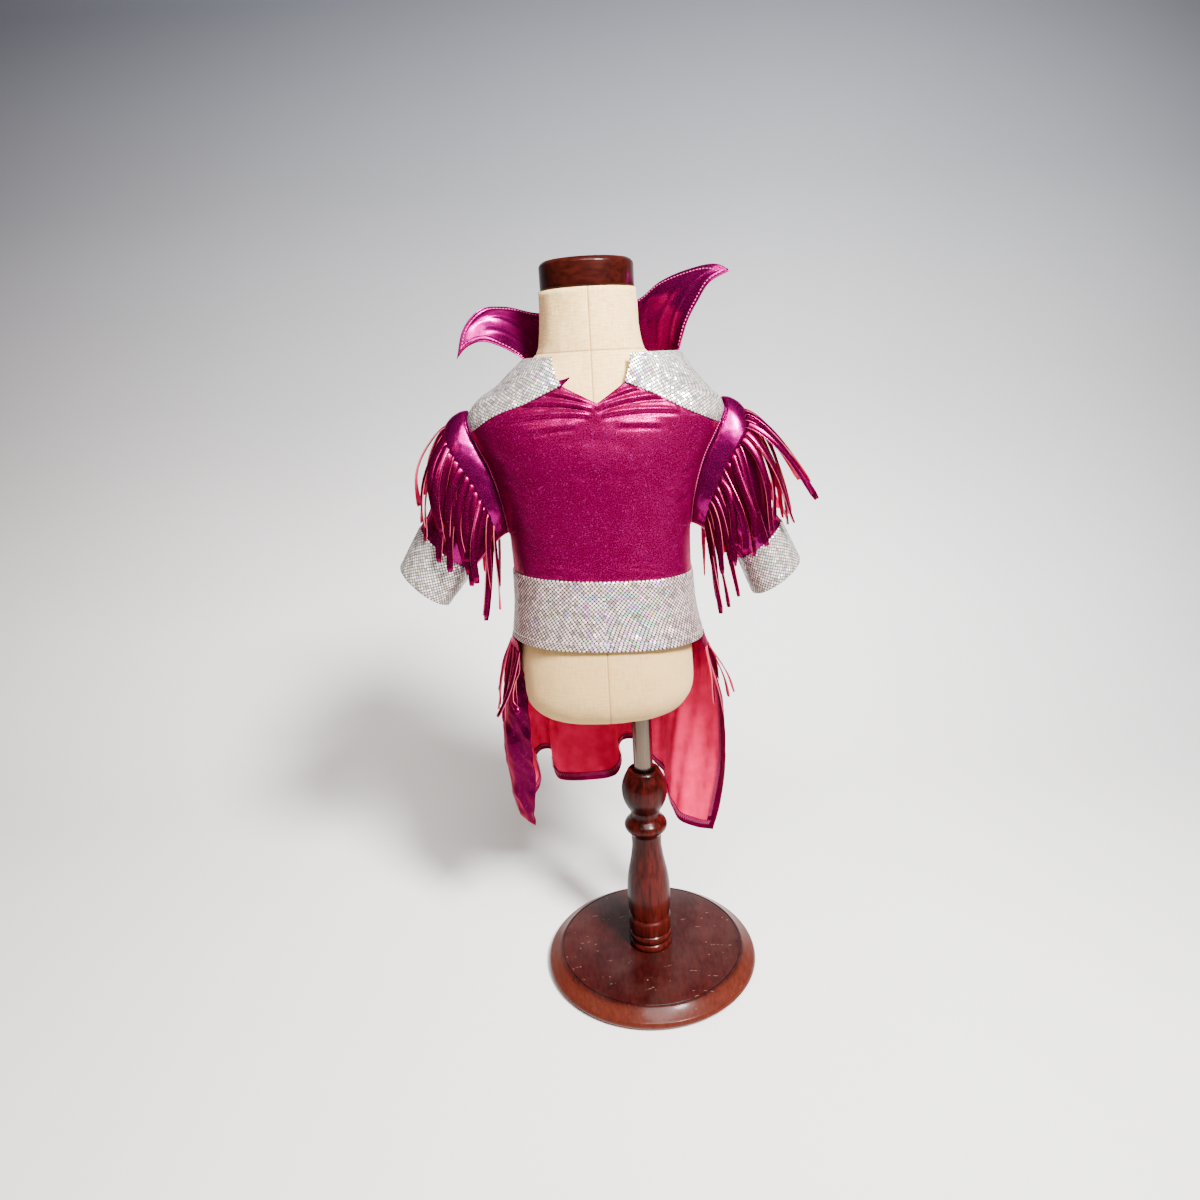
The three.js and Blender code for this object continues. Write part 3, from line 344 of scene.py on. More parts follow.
def rubbed_edge(tree, place, color, grain_height, radii):
    """Colour with its edge rubbed to orange-brown between two radii, and a dark groove."""
    parts = axes(tree, place)
    radius = calc(tree, "SQRT", calc(tree, "ADD", calc(tree, "POWER", parts["X"], 2.0),
                                     calc(tree, "POWER", parts["Y"], 2.0)))
    uneven = calc(tree, "MULTIPLY", noise(tree, place, 60.0, 4.0), 0.003)
    edge = remap(tree, calc(tree, "ADD", radius, uneven), *radii)
    bare = blend_colors(tree, grain_height, (0.022, 0.0035, 0.002), (0.095, 0.018, 0.010))
    color = blend_colors(tree, edge, color, bare)
    beside = calc(tree, "ABSOLUTE", calc(tree, "SUBTRACT", radius, GROOVE_RADIUS))
    groove = calc(tree, "MULTIPLY", remap(tree, beside, 0.0016, 0.0002), 0.8)
    return blend_colors(tree, groove, color, (0.004, 0.0006, 0.0005))


def dust_cover(tree, place, dust):
    """Share of dust: lint fibres, specks and a thin haze, on faces that look up."""
    fibres = 0.0
    for turn, shift in FIBRE_LAYERS:
        laid = mapped(tree, place, (34.0, 150.0, 34.0), turn, (shift, shift, 0))
        bend = calc(tree, "MULTIPLY", noise(tree, place, 90.0 + 20 * turn), 1.6)
        bend = put(tree, "ShaderNodeCombineXYZ", {1: bend}).outputs[0]
        path = put(tree, "ShaderNodeVectorMath", {0: laid, 1: bend}, operation="ADD")
        cell = put(tree, "ShaderNodeTexVoronoi", {
            "Vector": path.outputs[0], "Scale": 1.0, "Randomness": 1.0}).outputs
        some = calc(tree, "GREATER_THAN", channels(tree, cell["Color"])[0], 0.55)
        thin = calc(tree, "MULTIPLY", remap(tree, cell["Distance"], 0.10, 0.05), some)
        fibres = calc(tree, "ADD", thin, fibres)
    lint = put(tree, "ShaderNodeTexVoronoi", {"Vector": place, "Scale": 120.0}).outputs
    few = calc(tree, "GREATER_THAN", channels(tree, lint["Color"])[0], 0.82)
    specks = calc(tree, "MULTIPLY", remap(tree, lint["Distance"], 0.13, 0.07), few)
    haze = remap(tree, noise(tree, place, 34.0, 6.0), 0.42, 0.75)
    amount = calc(tree, "ADD", calc(tree, "MAXIMUM", fibres, specks),
                  calc(tree, "MULTIPLY", haze, 0.10))
    up = axes(tree, put(tree, "ShaderNodeNewGeometry").outputs["Normal"])["Z"]
    return calc(tree, "MULTIPLY", calc(tree, "MULTIPLY", amount, dust),
                remap(tree, up, 0.7, 0.95))


def mahogany(name, dark, light, stretch, worn_from=None, dust=0.0):
    """Varnished wood. stretch is the grain's direction, and worn_from gives the radii
    between which the edge is rubbed through."""
    made, tree = new_material(name)
    place = put(tree, "ShaderNodeTexCoord").outputs["Object"]
    grain = put(tree, "ShaderNodeGroup", {
        "Place": mapped(tree, place, stretch), "Dark": (*dark, 1), "Light": (*light, 1),
    }, node_tree=WOOD_GRAIN).outputs
    color, rough = grain["Color"], VARNISH_ROUGH
    if worn_from:
        color = rubbed_edge(tree, place, color, grain["Height"], worn_from)
    if dust:
        amount = dust_cover(tree, place, dust)
        color = blend_colors(tree, amount, color, (0.22, 0.12, 0.10))
        rough = calc(tree, "ADD", VARNISH_ROUGH, calc(tree, "MULTIPLY", amount, 0.5))
    return surfaced(made, {
        "Base Color": color, "Roughness": rough,
        "Normal": bumped(tree, grain["Height"], 0.12, 0.0004),
        "Coat Weight": 0.10, "Coat Roughness": 0.12, "Specular IOR Level": 0.05,
    })


BASE_ROWS = [
    # height, radius, bulge from the row before
    (0, 119, 0), (6, 123.5, 0.7), (10, 121.5, 0.3), (19.2, 108.5, -0.6), (20, 106.6, 0),
    (19.2, 105.8, 0), (20, 105, 0), (20, 60, 0),
]
COLUMN_ROWS = [
    (20.3, 23.8, 0), (28, 23.8, 1.4), (29.5, 22, 0), (31, 24, 0), (39, 24.2, 1.2),
    (40.5, 22.2, 0), (42, 24.6, 0), (58, 24.8, 0), (60, 22.6, 0), (62, 23.4, 0),
    (120, 22.2, 2.4), (152, 17, -0.6), (166, 17.4, 0), (169, 19, 0), (187, 18.6, 5.8),
    (190, 17, 0), (197, 17.4, -0.5), (244, 19.4, 7.6), (248, 16.4, 0.6), (247, 13.4, 0),
    (244, 11.3, 0), (230, 11.3, 0),
]
CAP_ROWS = [
    (761.3, 45, 0), (763, 46, 0), (783, 46, 0), (788, 42, 1), (790, 24, 0), (790, 8, 0),
]
base = turned("stand_foot", BASE_ROWS, 160, mahogany(
    "foot_mahogany", (0.013, 0.0012, 0.0012), (0.032, 0.0038, 0.0032), (1.0, 0.3, 1.0),
    worn_from=(0.1085, 0.113), dust=0.55))
column = turned("stand_baluster", COLUMN_ROWS, 96, mahogany(
    "column_mahogany", (0.006, 0.0006, 0.0006), (0.050, 0.0045, 0.003), (1.0, 1.0, 0.12)))
cap = turned("neck_cap", CAP_ROWS, 112, mahogany(
    "cap_mahogany", (0.008, 0.001, 0.0008), (0.026, 0.0035, 0.0022), (0.14, 1.0, 1.0)),
    centre_x=FORM_X)
for piece, node in ((base, "stand_base"), (column, "stand_column"), (cap, "form_cap")):
    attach(piece, "root")
    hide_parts(node)

# ---------------------------------------------------------------------------------- pole
# Satin chromed steel tube. It stands in the column's bored top and in the form's socket.


def satin_chrome():
    """Chrome brushed along the tube by polishing."""
    made, tree = new_material("satin_chrome")
    place = put(tree, "ShaderNodeTexCoord").outputs["Object"]
    lines = noise(tree, mapped(tree, place, (1.0, 1.0, 0.02)), 900.0, 3.0)
    return surfaced(made, {
        "Base Color": (0.115, 0.085, 0.065, 1), "Metallic": 1.0,
        "Roughness": remap(tree, lines, 0.3, 0.7, 0.18, 0.34),
        "Normal": bumped(tree, lines, 0.25, 0.0002),
    })


pole = turned("stand_tube", [(214.4, 10.4, 0), (215, 11, 0), (357, 11, 0), (357.6, 10.4, 0)],
              64, satin_chrome())
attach(pole, "root")
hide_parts("stand_pole")

# ------------------------------------------------------------------------------ the form
# Child's torso without limbs, padded and covered in linen, with a seam down its middle
# and one round the neck. It ends in a flat, rounded bottom that takes the pole.
FORM_BOTTOM = 324
FORM_CORNER = 40
NECK_SEAM_Z = 704
FORM_ROWS = [
    # height, half width, half depth
    (364, 93.2, 76), (400, 92, 74), (440, 88.5, 70), (490, 87, 68),
    (525, 89, 69), (560, 95, 71), (600, 105, 71), (625, 111, 68), (640, 110, 65),
    (655, 101, 61), (670, 87, 57.5), (685, 72, 54), (697, 60, 51), (706, 53, 49.5),
    (716, 50.5, 49), (735, 48.5, 47.5), (761, 47.5, 46.5),
]


def table_curve(rows, at):
    """Columns of a table, by its first column, as smooth curves."""
    table = np.array(rows, float)
    keys, values = table[:, 0], table[:, 1:]
    slopes = np.gradient(values, axis=0) * 0
    slopes[1:-1] = (values[2:] - values[:-2]) / (keys[2:] - keys[:-2])[:, None]
    slopes[0] = (values[1] - values[0]) / (keys[1] - keys[0])
    slopes[-1] = (values[-1] - values[-2]) / (keys[-1] - keys[-2])
    place = np.clip(np.asarray(at, float), keys[0], keys[-1])
    row = np.clip(np.searchsorted(keys, place) - 1, 0, len(keys) - 2)
    span = (keys[row + 1] - keys[row])[..., None]
    t = (place - keys[row])[..., None] / span
    return ((2 * t**3 - 3 * t**2 + 1) * values[row] + (3 * t**2 - 2 * t**3) * values[row + 1]
            + span * ((t**3 - 2 * t**2 + t) * slopes[row] + (t**3 - t**2) * slopes[row + 1]))


def squareness(z):
    """Power of the level sections: rounded boxes at the trunk, round at the neck."""
    return 2.4 - 0.4 * np.clip((np.asarray(z, float) - 640) / 60, 0, 1)


def ring_point(degrees, z, sizes, power):
    """Point on a level section: 0 degrees is the front, 90 the right, 180 the back."""
    angle = np.radians(degrees)
    x = np.sign(np.sin(angle)) * np.abs(np.sin(angle)) ** (2 / power)
    y = -np.sign(np.cos(angle)) * np.abs(np.cos(angle)) ** (2 / power)
    left, right, front, back = np.moveaxis(sizes, -1, 0)
    return np.stack([x * np.where(x > 0, right, left), y * np.where(y > 0, back, front),
                     z + 0 * x], -1)


def form_sizes(z):
    """Half sizes of the form at a height: left, right, front and back."""
    level = np.maximum(z, FORM_BOTTOM + FORM_CORNER)
    drop = np.clip((FORM_BOTTOM + FORM_CORNER - z) / FORM_CORNER, 0, 1)
    inset = FORM_CORNER * (1 - np.sqrt(1 - drop**2))
    size = table_curve(FORM_ROWS, level) - inset[..., None]
    return size[..., [0, 0, 1, 1]]


def soft_noise(x, y, seed=0):
    """Smooth noise from -1 to 1 with cells of one."""
    x, y = np.asarray(x, float), np.asarray(y, float)
    x0, y0 = np.floor(x), np.floor(y)
    fx, fy = x - x0, y - y0
    sx, sy = fx * fx * (3 - 2 * fx), fy * fy * (3 - 2 * fy)

    def corner(a, b):
        value = np.sin(a * 127.1 + b * 311.7 + seed * 74.7) * 43758.5453
        return 2 * (value - np.floor(value)) - 1

    low = corner(x0, y0) * (1 - sx) + corner(x0 + 1, y0) * sx
    high = corner(x0, y0 + 1) * (1 - sx) + corner(x0 + 1, y0 + 1) * sx
    return low * (1 - sy) + high * sy


def linen_weave():
    """Plain weave with slubs, darker and browner low down with painted shade, and dark where its
    seams sink.
    """
    made, tree = new_material("linen_cover")
    place = put(tree, "ShaderNodeTexCoord").outputs["Object"]
    parts = axes(tree, place)
    aside = calc(tree, "SUBTRACT", parts["X"], FORM_X * MM)
    around = calc(tree, "MULTIPLY", calc(tree, "ARCTAN2", aside, parts["Y"]), 0.085)
    flat = put(tree, "ShaderNodeCombineXYZ", {0: around, 1: parts["Z"]}).outputs[0]
    warp, weft = (put(tree, "ShaderNodeTexWave", {
        "Vector": flat, "Scale": 420.0, "Distortion": 1.6, "Detail": 2.0, "Detail Scale": 1.2,
    }, bands_direction=way).outputs["Fac"] for way in "XY")
    slub_x, slub_y = (noise(tree, mapped(tree, flat, scale), 1.0, 3.0)
                      for scale in ((60.0, 900.0, 1.0), (900.0, 60.0, 1.0)))
    slubs = calc(tree, "ADD", slub_x, slub_y)
    color = ramp(tree, remap(tree, slubs, 0.7, 1.3), [
        (0.0, (0.48, 0.26, 0.08)), (0.5, (0.70, 0.46, 0.17)), (1.0, (0.80, 0.60, 0.28)),
    ])
    stained = remap(tree, noise(tree, place, 14.0, 3.0), 0.35, 0.65, 0.0, 0.35)
    color = blend_colors(tree, stained, color, (0.74, 0.46, 0.22))
    # Painted shade: the cover is darkened and browned from the waist down.
    low = remap(tree, parts["Z"], 0.62, 0.42, 0.0, 0.6)
    color = blend_colors(tree, low, color, (0.38, 0.225, 0.07))
    above = calc(tree, "SUBTRACT", parts["Z"], NECK_SEAM_Z * MM)
    front, ring = (remap(tree, calc(tree, "ABSOLUTE", away), 0.0009, 0.0004)
                   for away in (aside, above))
    seam = calc(tree, "MULTIPLY", calc(tree, "MAXIMUM", front, ring), 0.6)
    height = calc(tree, "ADD", calc(tree, "MAXIMUM", warp, weft),
                  calc(tree, "MULTIPLY", slubs, 1.2))
    return surfaced(made, {
        "Base Color": blend_colors(tree, seam, color, (0.16, 0.055, 0.02)),
        "Roughness": 0.88, "Normal": bumped(tree, height, 0.4, 0.0004),
        "Sheen Weight": 0.12, "Sheen Roughness": 0.6, "Specular IOR Level": 0.25,
    })


def form_cover():
    """Levels from the flat bottom up to the cap, with columns gathered at the seams."""
    steps = 90 * (1 - np.linspace(1, 0, 14))
    corner = FORM_BOTTOM + FORM_CORNER * (1 - np.cos(np.radians(steps)))
    levels = np.concatenate([corner[:-1], np.arange(364, 699, 6.5), np.arange(700, 709, 1.0),
                             np.linspace(710, 761, 12)])
    fine = np.array([-3, -1.4, -0.8, -0.45, 0, 0.45, 0.8, 1.4, 3])
    angles = np.concatenate([fine, np.arange(6, 175, 3.0), 180 + fine, np.arange(186, 355, 3.0)])
    deg, z = np.meshgrid(angles, levels, indexing="ij")
    points = ring_point(deg, z, form_sizes(z), squareness(z))
    beside = np.minimum(np.abs(points[..., 0]), 99)
    groove = 0.7 * np.exp(-(beside / 0.9) ** 2) + 0.5 * np.exp(-((z - NECK_SEAM_Z) / 1.1) ** 2)
    quilt = 0.5 * soft_noise(deg / 14, z / 24, 3) + 0.25 * soft_noise(deg / 5, z / 9, 4)
    away = points * [1, 1, 0]
    away = away / np.linalg.norm(away, axis=-1, keepdims=True)
    points = points + away * (quilt - groove)[..., None]
    columns, rows = deg.shape
    flat = points.reshape(-1, 3)
    bottom, top = len(flat), len(flat) + 1
    flat = np.vstack([flat, [[0, 0, FORM_BOTTOM], [0, 0, 761]]]) + [FORM_X, 0, 0]
    at = lambda i, j: (i % columns) * rows + j
    faces = []
    for i in range(columns):
        faces.append((bottom, at(i + 1, 0), at(i, 0)))
        faces.append((top, at(i, rows - 1), at(i + 1, rows - 1)))
        faces += [(at(i, j), at(i + 1, j), at(i + 1, j + 1), at(i, j + 1)) for j in range(rows - 1)]
    return smoothed(flat, faces, "form_cover", [linen_weave()])


form = form_cover()
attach(form, "root")
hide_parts("form_body")

# --------------------------------------------------------------------- magenta foil cloth
# Stretch jersey printed with a magenta foil on its face, matt coral knit on its back. It
# is cut to panels and sewn with overlocked seams.


def foil_grain_group():
    """Print of a foil: where its flakes lie, their small glints, and a height."""
    group, ends, out = new_group(
        "foil_grain", "ShaderNodeTree", [("Place", "Vector"), ("Cover", "Float")],
        [("Flakes", "Float"), ("Glints", "Float"), ("Height", "Float")])
    place = ends.outputs["Place"]
    cells = put(group, "ShaderNodeTexVoronoi", {"Vector": place, "Scale": 1000.0})
    chosen = channels(group, cells.outputs["Color"])
    fine = noise(group, place, 900.0, 3.0, 0.65)
    broad = calc(group, "MULTIPLY", noise(group, place, 55.0, 4.0, 0.6), 0.12)
    level = calc(group, "SUBTRACT", calc(group, "ADD", fine, broad), 1.06)
    level = calc(group, "ADD", level, ends.outputs["Cover"])
    group.links.new(remap(group, level, -0.15, 0.15), out.inputs["Flakes"])
    group.links.new(remap(group, chosen[0], 0.93, 0.99), out.inputs["Glints"])
    group.links.new(calc(group, "ADD", fine, calc(group, "MULTIPLY", chosen[1], 0.4)),
                    out.inputs["Height"])
    return group


FOIL_GRAIN = foil_grain_group()
KNIT_TONE, GLINT_TONE = (0.048, 0.0, 0.002), (0.90, 0.05, 0.60)
FOIL_TINT = (1.0, 0.02, 0.42, 1)


def cloth_place(tree):
    """Place on the flat cloth, in metres along its own grain."""
    return put(tree, "ShaderNodeUVMap", uv_map="cloth").outputs[0]


def magenta_foil(name, cover, rough, strength, print_tone):
    """Foil print over crimson knit: cover is the share of foil, rough that of the foil and
    print_tone its colour."""
    made, tree = new_material(name)
    grain = put(tree, "ShaderNodeGroup", {"Place": cloth_place(tree), "Cover": cover},
                node_tree=FOIL_GRAIN).outputs
    color = blend_colors(tree, grain["Flakes"], KNIT_TONE, print_tone)
    glints = calc(tree, "MULTIPLY", grain["Glints"], 0.12)
    return surfaced(made, {
        "Base Color": blend_colors(tree, glints, color, GLINT_TONE),
        "Metallic": remap(tree, grain["Flakes"], 0.0, 1.0, 0.45, 1.0),
        "Roughness": remap(tree, grain["Flakes"], 0.0, 1.0, rough + 0.16, rough),
        "Normal": bumped(tree, grain["Height"], strength, 0.0002),
        "Specular Tint": FOIL_TINT, "Specular IOR Level": 0.1,
    })


def coral_knit():
    """Matt back of the jersey, with its wales and a mottled dye."""
    made, tree = new_material("coral_knit")
    place = cloth_place(tree)
    wales = put(tree, "ShaderNodeTexWave", {
        "Vector": place, "Scale": 260.0, "Distortion": 0.8, "Detail": 2.0,
    }, bands_direction="X").outputs["Fac"]
    tone = remap(tree, noise(tree, place, 60.0, 5.0), 0.3, 0.7)
    return surfaced(made, {
        "Base Color": blend_colors(tree, tone, (0.58, 0.0, 0.055), (0.76, 0.004, 0.09)),
        "Roughness": 0.8, "Normal": bumped(tree, wales, 0.2, 0.0003),
        "Sheen Weight": 0.05, "Sheen Tint": (1.0, 0.2, 0.3, 1), "Specular IOR Level": 0.05,
    })


BODICE_FOIL = magenta_foil("bodice_foil", 0.42, 0.21, 0.27, (0.37, 0.0, 0.135))
GLOSSY_FOIL = magenta_foil("gloss_foil", 0.60, 0.20, 0.15, (0.22, 0.0, 0.10))
# Painted shade: the strands are the same foil, given a darker print tone.
STRAND_SHADED_FOIL = magenta_foil("strand_shaded_foil", 0.60, 0.22, 0.15, (0.15, 0.0, 0.045))
# Painted shade: the skirt is the same foil, given a darker print tone.
SKIRT_SHADED_FOIL = magenta_foil("skirt_shaded_foil", 0.55, 0.20, 0.15, (0.085, 0.0, 0.035))
CORAL_KNIT = coral_knit()

CLOTH = 0.8  # one layer
DOUBLED = 1.6  # band and cuffs, and the pressed yokes and collar a little less
CLOTH_ROWS = [
    # height, half sizes to the left, right, front and back
    (478, 92.5, 93.5, 73, 73), (520, 93, 93.5, 73.5, 73), (545, 97, 96.5, 75, 75),
    (575, 104, 103.5, 76.5, 77), (600, 112, 112, 76.5, 78), (620, 121, 122, 74.5, 77),
    (640, 127, 130, 71, 74), (652, 124, 127, 68.5, 71), (663, 114, 117, 65.5, 69),
    (675, 96, 106, 62.5, 66), (685, 84, 99, 60.5, 63), (692, 76, 94, 59, 61),
    (700, 67, 88, 57, 59),
]
SIGN = {"left": -1.0, "right": 1.0}


def cloth_point(degrees, z):
    """Point on the outside of the bodice."""
    return ring_point(degrees, z, table_curve(CLOTH_ROWS, z), squareness(z))


def unit(vectors):
    """Vectors made one long."""
    return vectors / np.maximum(np.linalg.norm(vectors, axis=-1, keepdims=True), 1e-9)


def cloth_normal(degrees, z):
    """Direction away from the body on the bodice."""
    across = cloth_point(degrees + 1, z) - cloth_point(degrees - 1, z)
    up = cloth_point(degrees, z + 1) - cloth_point(degrees, z - 1)
    return unit(np.cross(across, up))


def angle_at(x, z):
    """Angle round the body at which the bodice is x to the side of its centre."""
    sizes = table_curve(CLOTH_ROWS, z)
    reach = np.where(x > 0, sizes[..., 1], sizes[..., 0])
    share = np.clip(np.abs(x) / reach, 0, 1)
    return np.sign(x) * np.degrees(np.arcsin(share ** (squareness(z) / 2)))


def pair(degrees, z):
    """Places on the bodice, each an angle and a height."""
    return np.stack(np.broadcast_arrays(degrees, z), -1).astype(float)


def spanned(start, end, low, high, u, v):
    """Surface between four edges: start and end run along v, low and high along u."""
    mix = lambda a, b, t: a + (b - a) * t[..., None]
    none, whole = np.zeros_like(u), np.ones_like(u)
    corners = mix(mix(start(none), end(none), u), mix(start(whole), end(whole), u), v)
    return mix(start(v), end(v), u) + mix(low(u), high(u), v) - corners


def grid(columns, rows):
    """Shares across and along of a sheet's points."""
    return np.meshgrid(np.linspace(0, 1, columns + 1), np.linspace(0, 1, rows + 1), indexing="ij")


def on_bodice(places):
    """Points, normals and edge spans of a sheet laid on the bodice."""
    points = cloth_point(places[..., 0], places[..., 1])
    return points, cloth_normal(places[..., 0], places[..., 1]), edge_spans(points)


def edge_spans(points):
    """Length along the cloth from each point to its four edges: u low, high, v low, high."""
    spans = []
    for axis in (0, 1):
        steps = np.linalg.norm(np.diff(points, axis=axis), axis=-1)
        run = np.cumsum(steps, axis=axis)
        run = np.concatenate([np.zeros_like(np.take(run, [0], axis)), run], axis)
        spans += [run, np.take(run, [-1], axis) - run]
    return spans


def grid_normals(points, loop=False):
    """Normals of a sheet's points, which may close on themselves."""
    if loop:
        across = np.roll(points[:-1], -1, 0) - np.roll(points[:-1], 1, 0)
        across = np.concatenate([across, across[:1]])
    else:
        across = np.gradient(points, axis=0)
    return unit(np.cross(across, np.gradient(points, axis=1)))


def outward(points, normals):
    """Normals turned so that most of them point away from the rows' middles."""
    middles = points.mean(0, keepdims=True)
    return normals if (normals * (points - middles)).sum() > 0 else -normals


OUTSIDE, INSIDE = 0, 1  # material places of a wall, whose edges are as its outside


def shell(name, outer, normals, thick, materials, loop=False):
    """Closed cloth wall with rounded edges, its materials first the outside's and then the
    inside's. A looped wall's last column is its first again."""
    inner = outer - normals * thick
    spans = edge_spans(outer)
    along = spans[0] - spans[0][outer.shape[0] // 2]
    uv_grid = np.stack([along, spans[2]], -1) * MM
    columns, rows = outer.shape[:2]
    total = columns * rows
    at = lambda layer, i, j: layer * total + i * rows + j
    faces, face_kinds = [], []

    def add(kind, *corners):
        faces.append(corners)
        face_kinds.append(kind)

    for i in range(columns - 1):
        for j in range(rows - 1):
            add(OUTSIDE, at(0, i, j), at(0, i + 1, j), at(0, i + 1, j + 1), at(0, i, j + 1))
            add(INSIDE, at(1, i, j + 1), at(1, i + 1, j + 1), at(1, i + 1, j), at(1, i, j))
    points = np.concatenate([outer.reshape(-1, 3), inner.reshape(-1, 3)])
    uv = np.concatenate([uv_grid.reshape(-1, 2)] * 2)
    across, down = unit(np.gradient(outer, axis=0)), unit(np.gradient(outer, axis=1))
    ring = [(i, 0) for i in range(columns)]
    top = [(i, rows - 1) for i in range(columns - 1, -1, -1)]
    if loop:
        loops = [ring, top]
    else:
        loops = [ring + [(columns - 1, j) for j in range(1, rows)] + top[1:]
                 + [(0, j) for j in range(rows - 2, -1, -1)]]
    extra, extra_uv = [], []
    for path in loops:
        first = len(points) + len(extra)
        for i, j in path[:-1] if not loop else path:
            out = down[i, j] * (1 if j == rows - 1 else -1 if j == 0 else 0)
            if not loop:
                out = out + across[i, j] * (1 if i == columns - 1 else -1 if i == 0 else 0)
            extra.append((outer[i, j] + inner[i, j]) / 2 + out * 0.4 * thick)
            extra_uv.append(uv_grid[i, j])
        count = len(path) - 1 if not loop else len(path)
        for k in range(len(path) - 1):
            a, b = path[k], path[k + 1]
            middle_a, middle_b = first + k, first + (k + 1) % count
            add(OUTSIDE, at(0, *b), at(0, *a), middle_a, middle_b)
            add(OUTSIDE, middle_b, middle_a, at(1, *a), at(1, *b))
    points = np.concatenate([points, np.array(extra)])
    uv = np.concatenate([uv, np.array(extra_uv)])
    facing = np.cross(np.gradient(outer, axis=0), np.gradient(outer, axis=1))
    if (facing * normals).sum() <= 0:
        faces = [face[::-1] for face in faces]
    made = smoothed(points + [FORM_X, 0, 0], faces, name, materials, uv, face_kinds)
    if loop:
        weld = made.modifiers.new("weld", "WELD")
        weld.merge_threshold = 1e-6
        settle(made)
    return made


def settle(piece):
    """Puts a piece's modifiers into its mesh."""
    ready = piece.evaluated_get(bpy.context.evaluated_depsgraph_get())
    mesh = bpy.data.meshes.new_from_object(ready)
    piece.modifiers.clear()
    old = piece.data
    piece.data = mesh
    mesh.name = piece.name
    bpy.data.meshes.remove(old)
    return piece


def creases(x, z, lines):
    """Depth of drawn creases over a plane: each line is two ends, a width and a depth, and
    has a ridge to either side of its trough."""
    depth = np.zeros_like(x)
    for x0, z0, x1, z1, width, deep in lines:
        long = math.hypot(x1 - x0, z1 - z0)
        ux, uz = (x1 - x0) / long, (z1 - z0) / long
        t = np.clip(((x - x0) * ux + (z - z0) * uz) / long, -0.15, 1.15)
        bow = 0.06 * long * np.sin(math.pi * np.clip(t, 0, 1))
        off = ((x - x0) * -uz + (z - z0) * ux - bow) / width
        over = ((x - x0) * ux + (z - z0) * uz) / long
        fade = np.exp(-np.clip(np.abs(over - 0.5) - 0.3, 0, None) ** 2 * 22)
        depth += deep * fade * (1 - 0.75 * off**2) * np.exp(-0.7 * off**2)
    return depth


ARMHOLE = {"z": 589.5, "half_height": 61.5, "half_angle": 18, "fullness": 0.8}
BAND_TOP_Z = 486
BAND_BOTTOM_Z = 416
BAND_TILT = -0.048
SEAM = 0.3
NECK_Z = 700
CORNER_X, CORNER_Z = 30, 674  # the neck's front corners
BACK_TURN, ARMHOLE_BACK = 150, -50.0  # ends of the yokes' back seams, neck and armhole
YOKE_LOW = {
    "left": [(0, 674), (0.35, 660), (0.7, 649), (1, 633)],
    "right": [(0, 674), (0.25, 664), (0.6, 647), (1, 630)],
}


def armhole_edge(side, turn, grow=0.0):
    """Armhole's edge: 0 degrees is its top, 90 its front, 180 its lowest point."""
    angle = np.radians(turn)
    swing = np.sign(np.sin(angle)) * np.abs(np.sin(angle)) ** ARMHOLE["fullness"]
    degrees = SIGN[side] * (90 - (ARMHOLE["half_angle"] + grow * 0.7) * swing)
    return pair(degrees, ARMHOLE["z"] + (ARMHOLE["half_height"] + grow) * np.cos(angle))


def armhole_turn(z):
    """Angle on the armhole's front half at a height."""
    return math.degrees(math.acos((z - ARMHOLE["z"]) / ARMHOLE["half_height"]))


def front_seam(side, out):
    """Seam between yoke and belly panel, from the neck corner out to the armhole."""
    z = table_curve(YOKE_LOW[side], out)[..., 0]
    end_z = YOKE_LOW[side][-1][1]
    last = armhole_edge(side, armhole_turn(end_z))
    end = abs(cloth_point(last[0], last[1])[0])
    x = CORNER_X + (end - CORNER_X) * np.minimum(out, 1)
    inner = pair(angle_at(SIGN[side] * x, z), z)
    return np.where((np.asarray(out) >= 1)[..., None], last, inner)


def back_seam(side, out):
    """Seam between yoke and back panel, from the neck out to the armhole."""
    last = armhole_edge(side, ARMHOLE_BACK)
    bow = np.sin(math.pi * out)
    degrees = BACK_TURN + (abs(last[0]) - BACK_TURN) * out + 4 * bow
    return pair(SIGN[side] * degrees, NECK_Z + (last[1] - NECK_Z) * out + 3 * bow)


def band_top_under(degrees):
    """Height of the seam above the tilted band."""
    z = np.full_like(np.asarray(degrees, float), BAND_TOP_Z)
    for _ in range(4):
        z = BAND_TOP_Z + BAND_TILT * cloth_point(degrees, z)[..., 0] + SEAM
    return z


def panel_side(side, angle, end_turn):
    """Side of a belly or back panel: up the side seam, then along the armhole."""
    seam = SIGN[side] * angle
    low = band_top_under(seam)
    under = ARMHOLE["z"] - ARMHOLE["half_height"]

    def edge(v):
        rise = pair(seam, low + (under - low) * np.minimum(v * 3, 1))
        arm = armhole_edge(side, 180 + (end_turn - 180) * np.clip(v * 1.5 - 0.5, 0, 1))
        return np.where((v <= 1 / 3)[..., None], rise, arm)

    return edge


def sewn_in(points, spans, which, dip=0.5, pucker=0.3, every=7.0):
    """Height change near sewn edges: the seam draws the cloth in and puckers it."""
    change = np.zeros(points.shape[:2])
    for k in which:
        near = spans[k]
        run = spans[2] if k < 2 else spans[0]
        change -= dip * np.exp(-(near / 1.6) ** 2)
        ripple = (soft_noise(run / every, near / 30, 11 + k)
                  + 0.5 * soft_noise(run / every * 2.3, near / 12, k))
        change += pucker * ripple * np.exp(-near / 7)
    return change


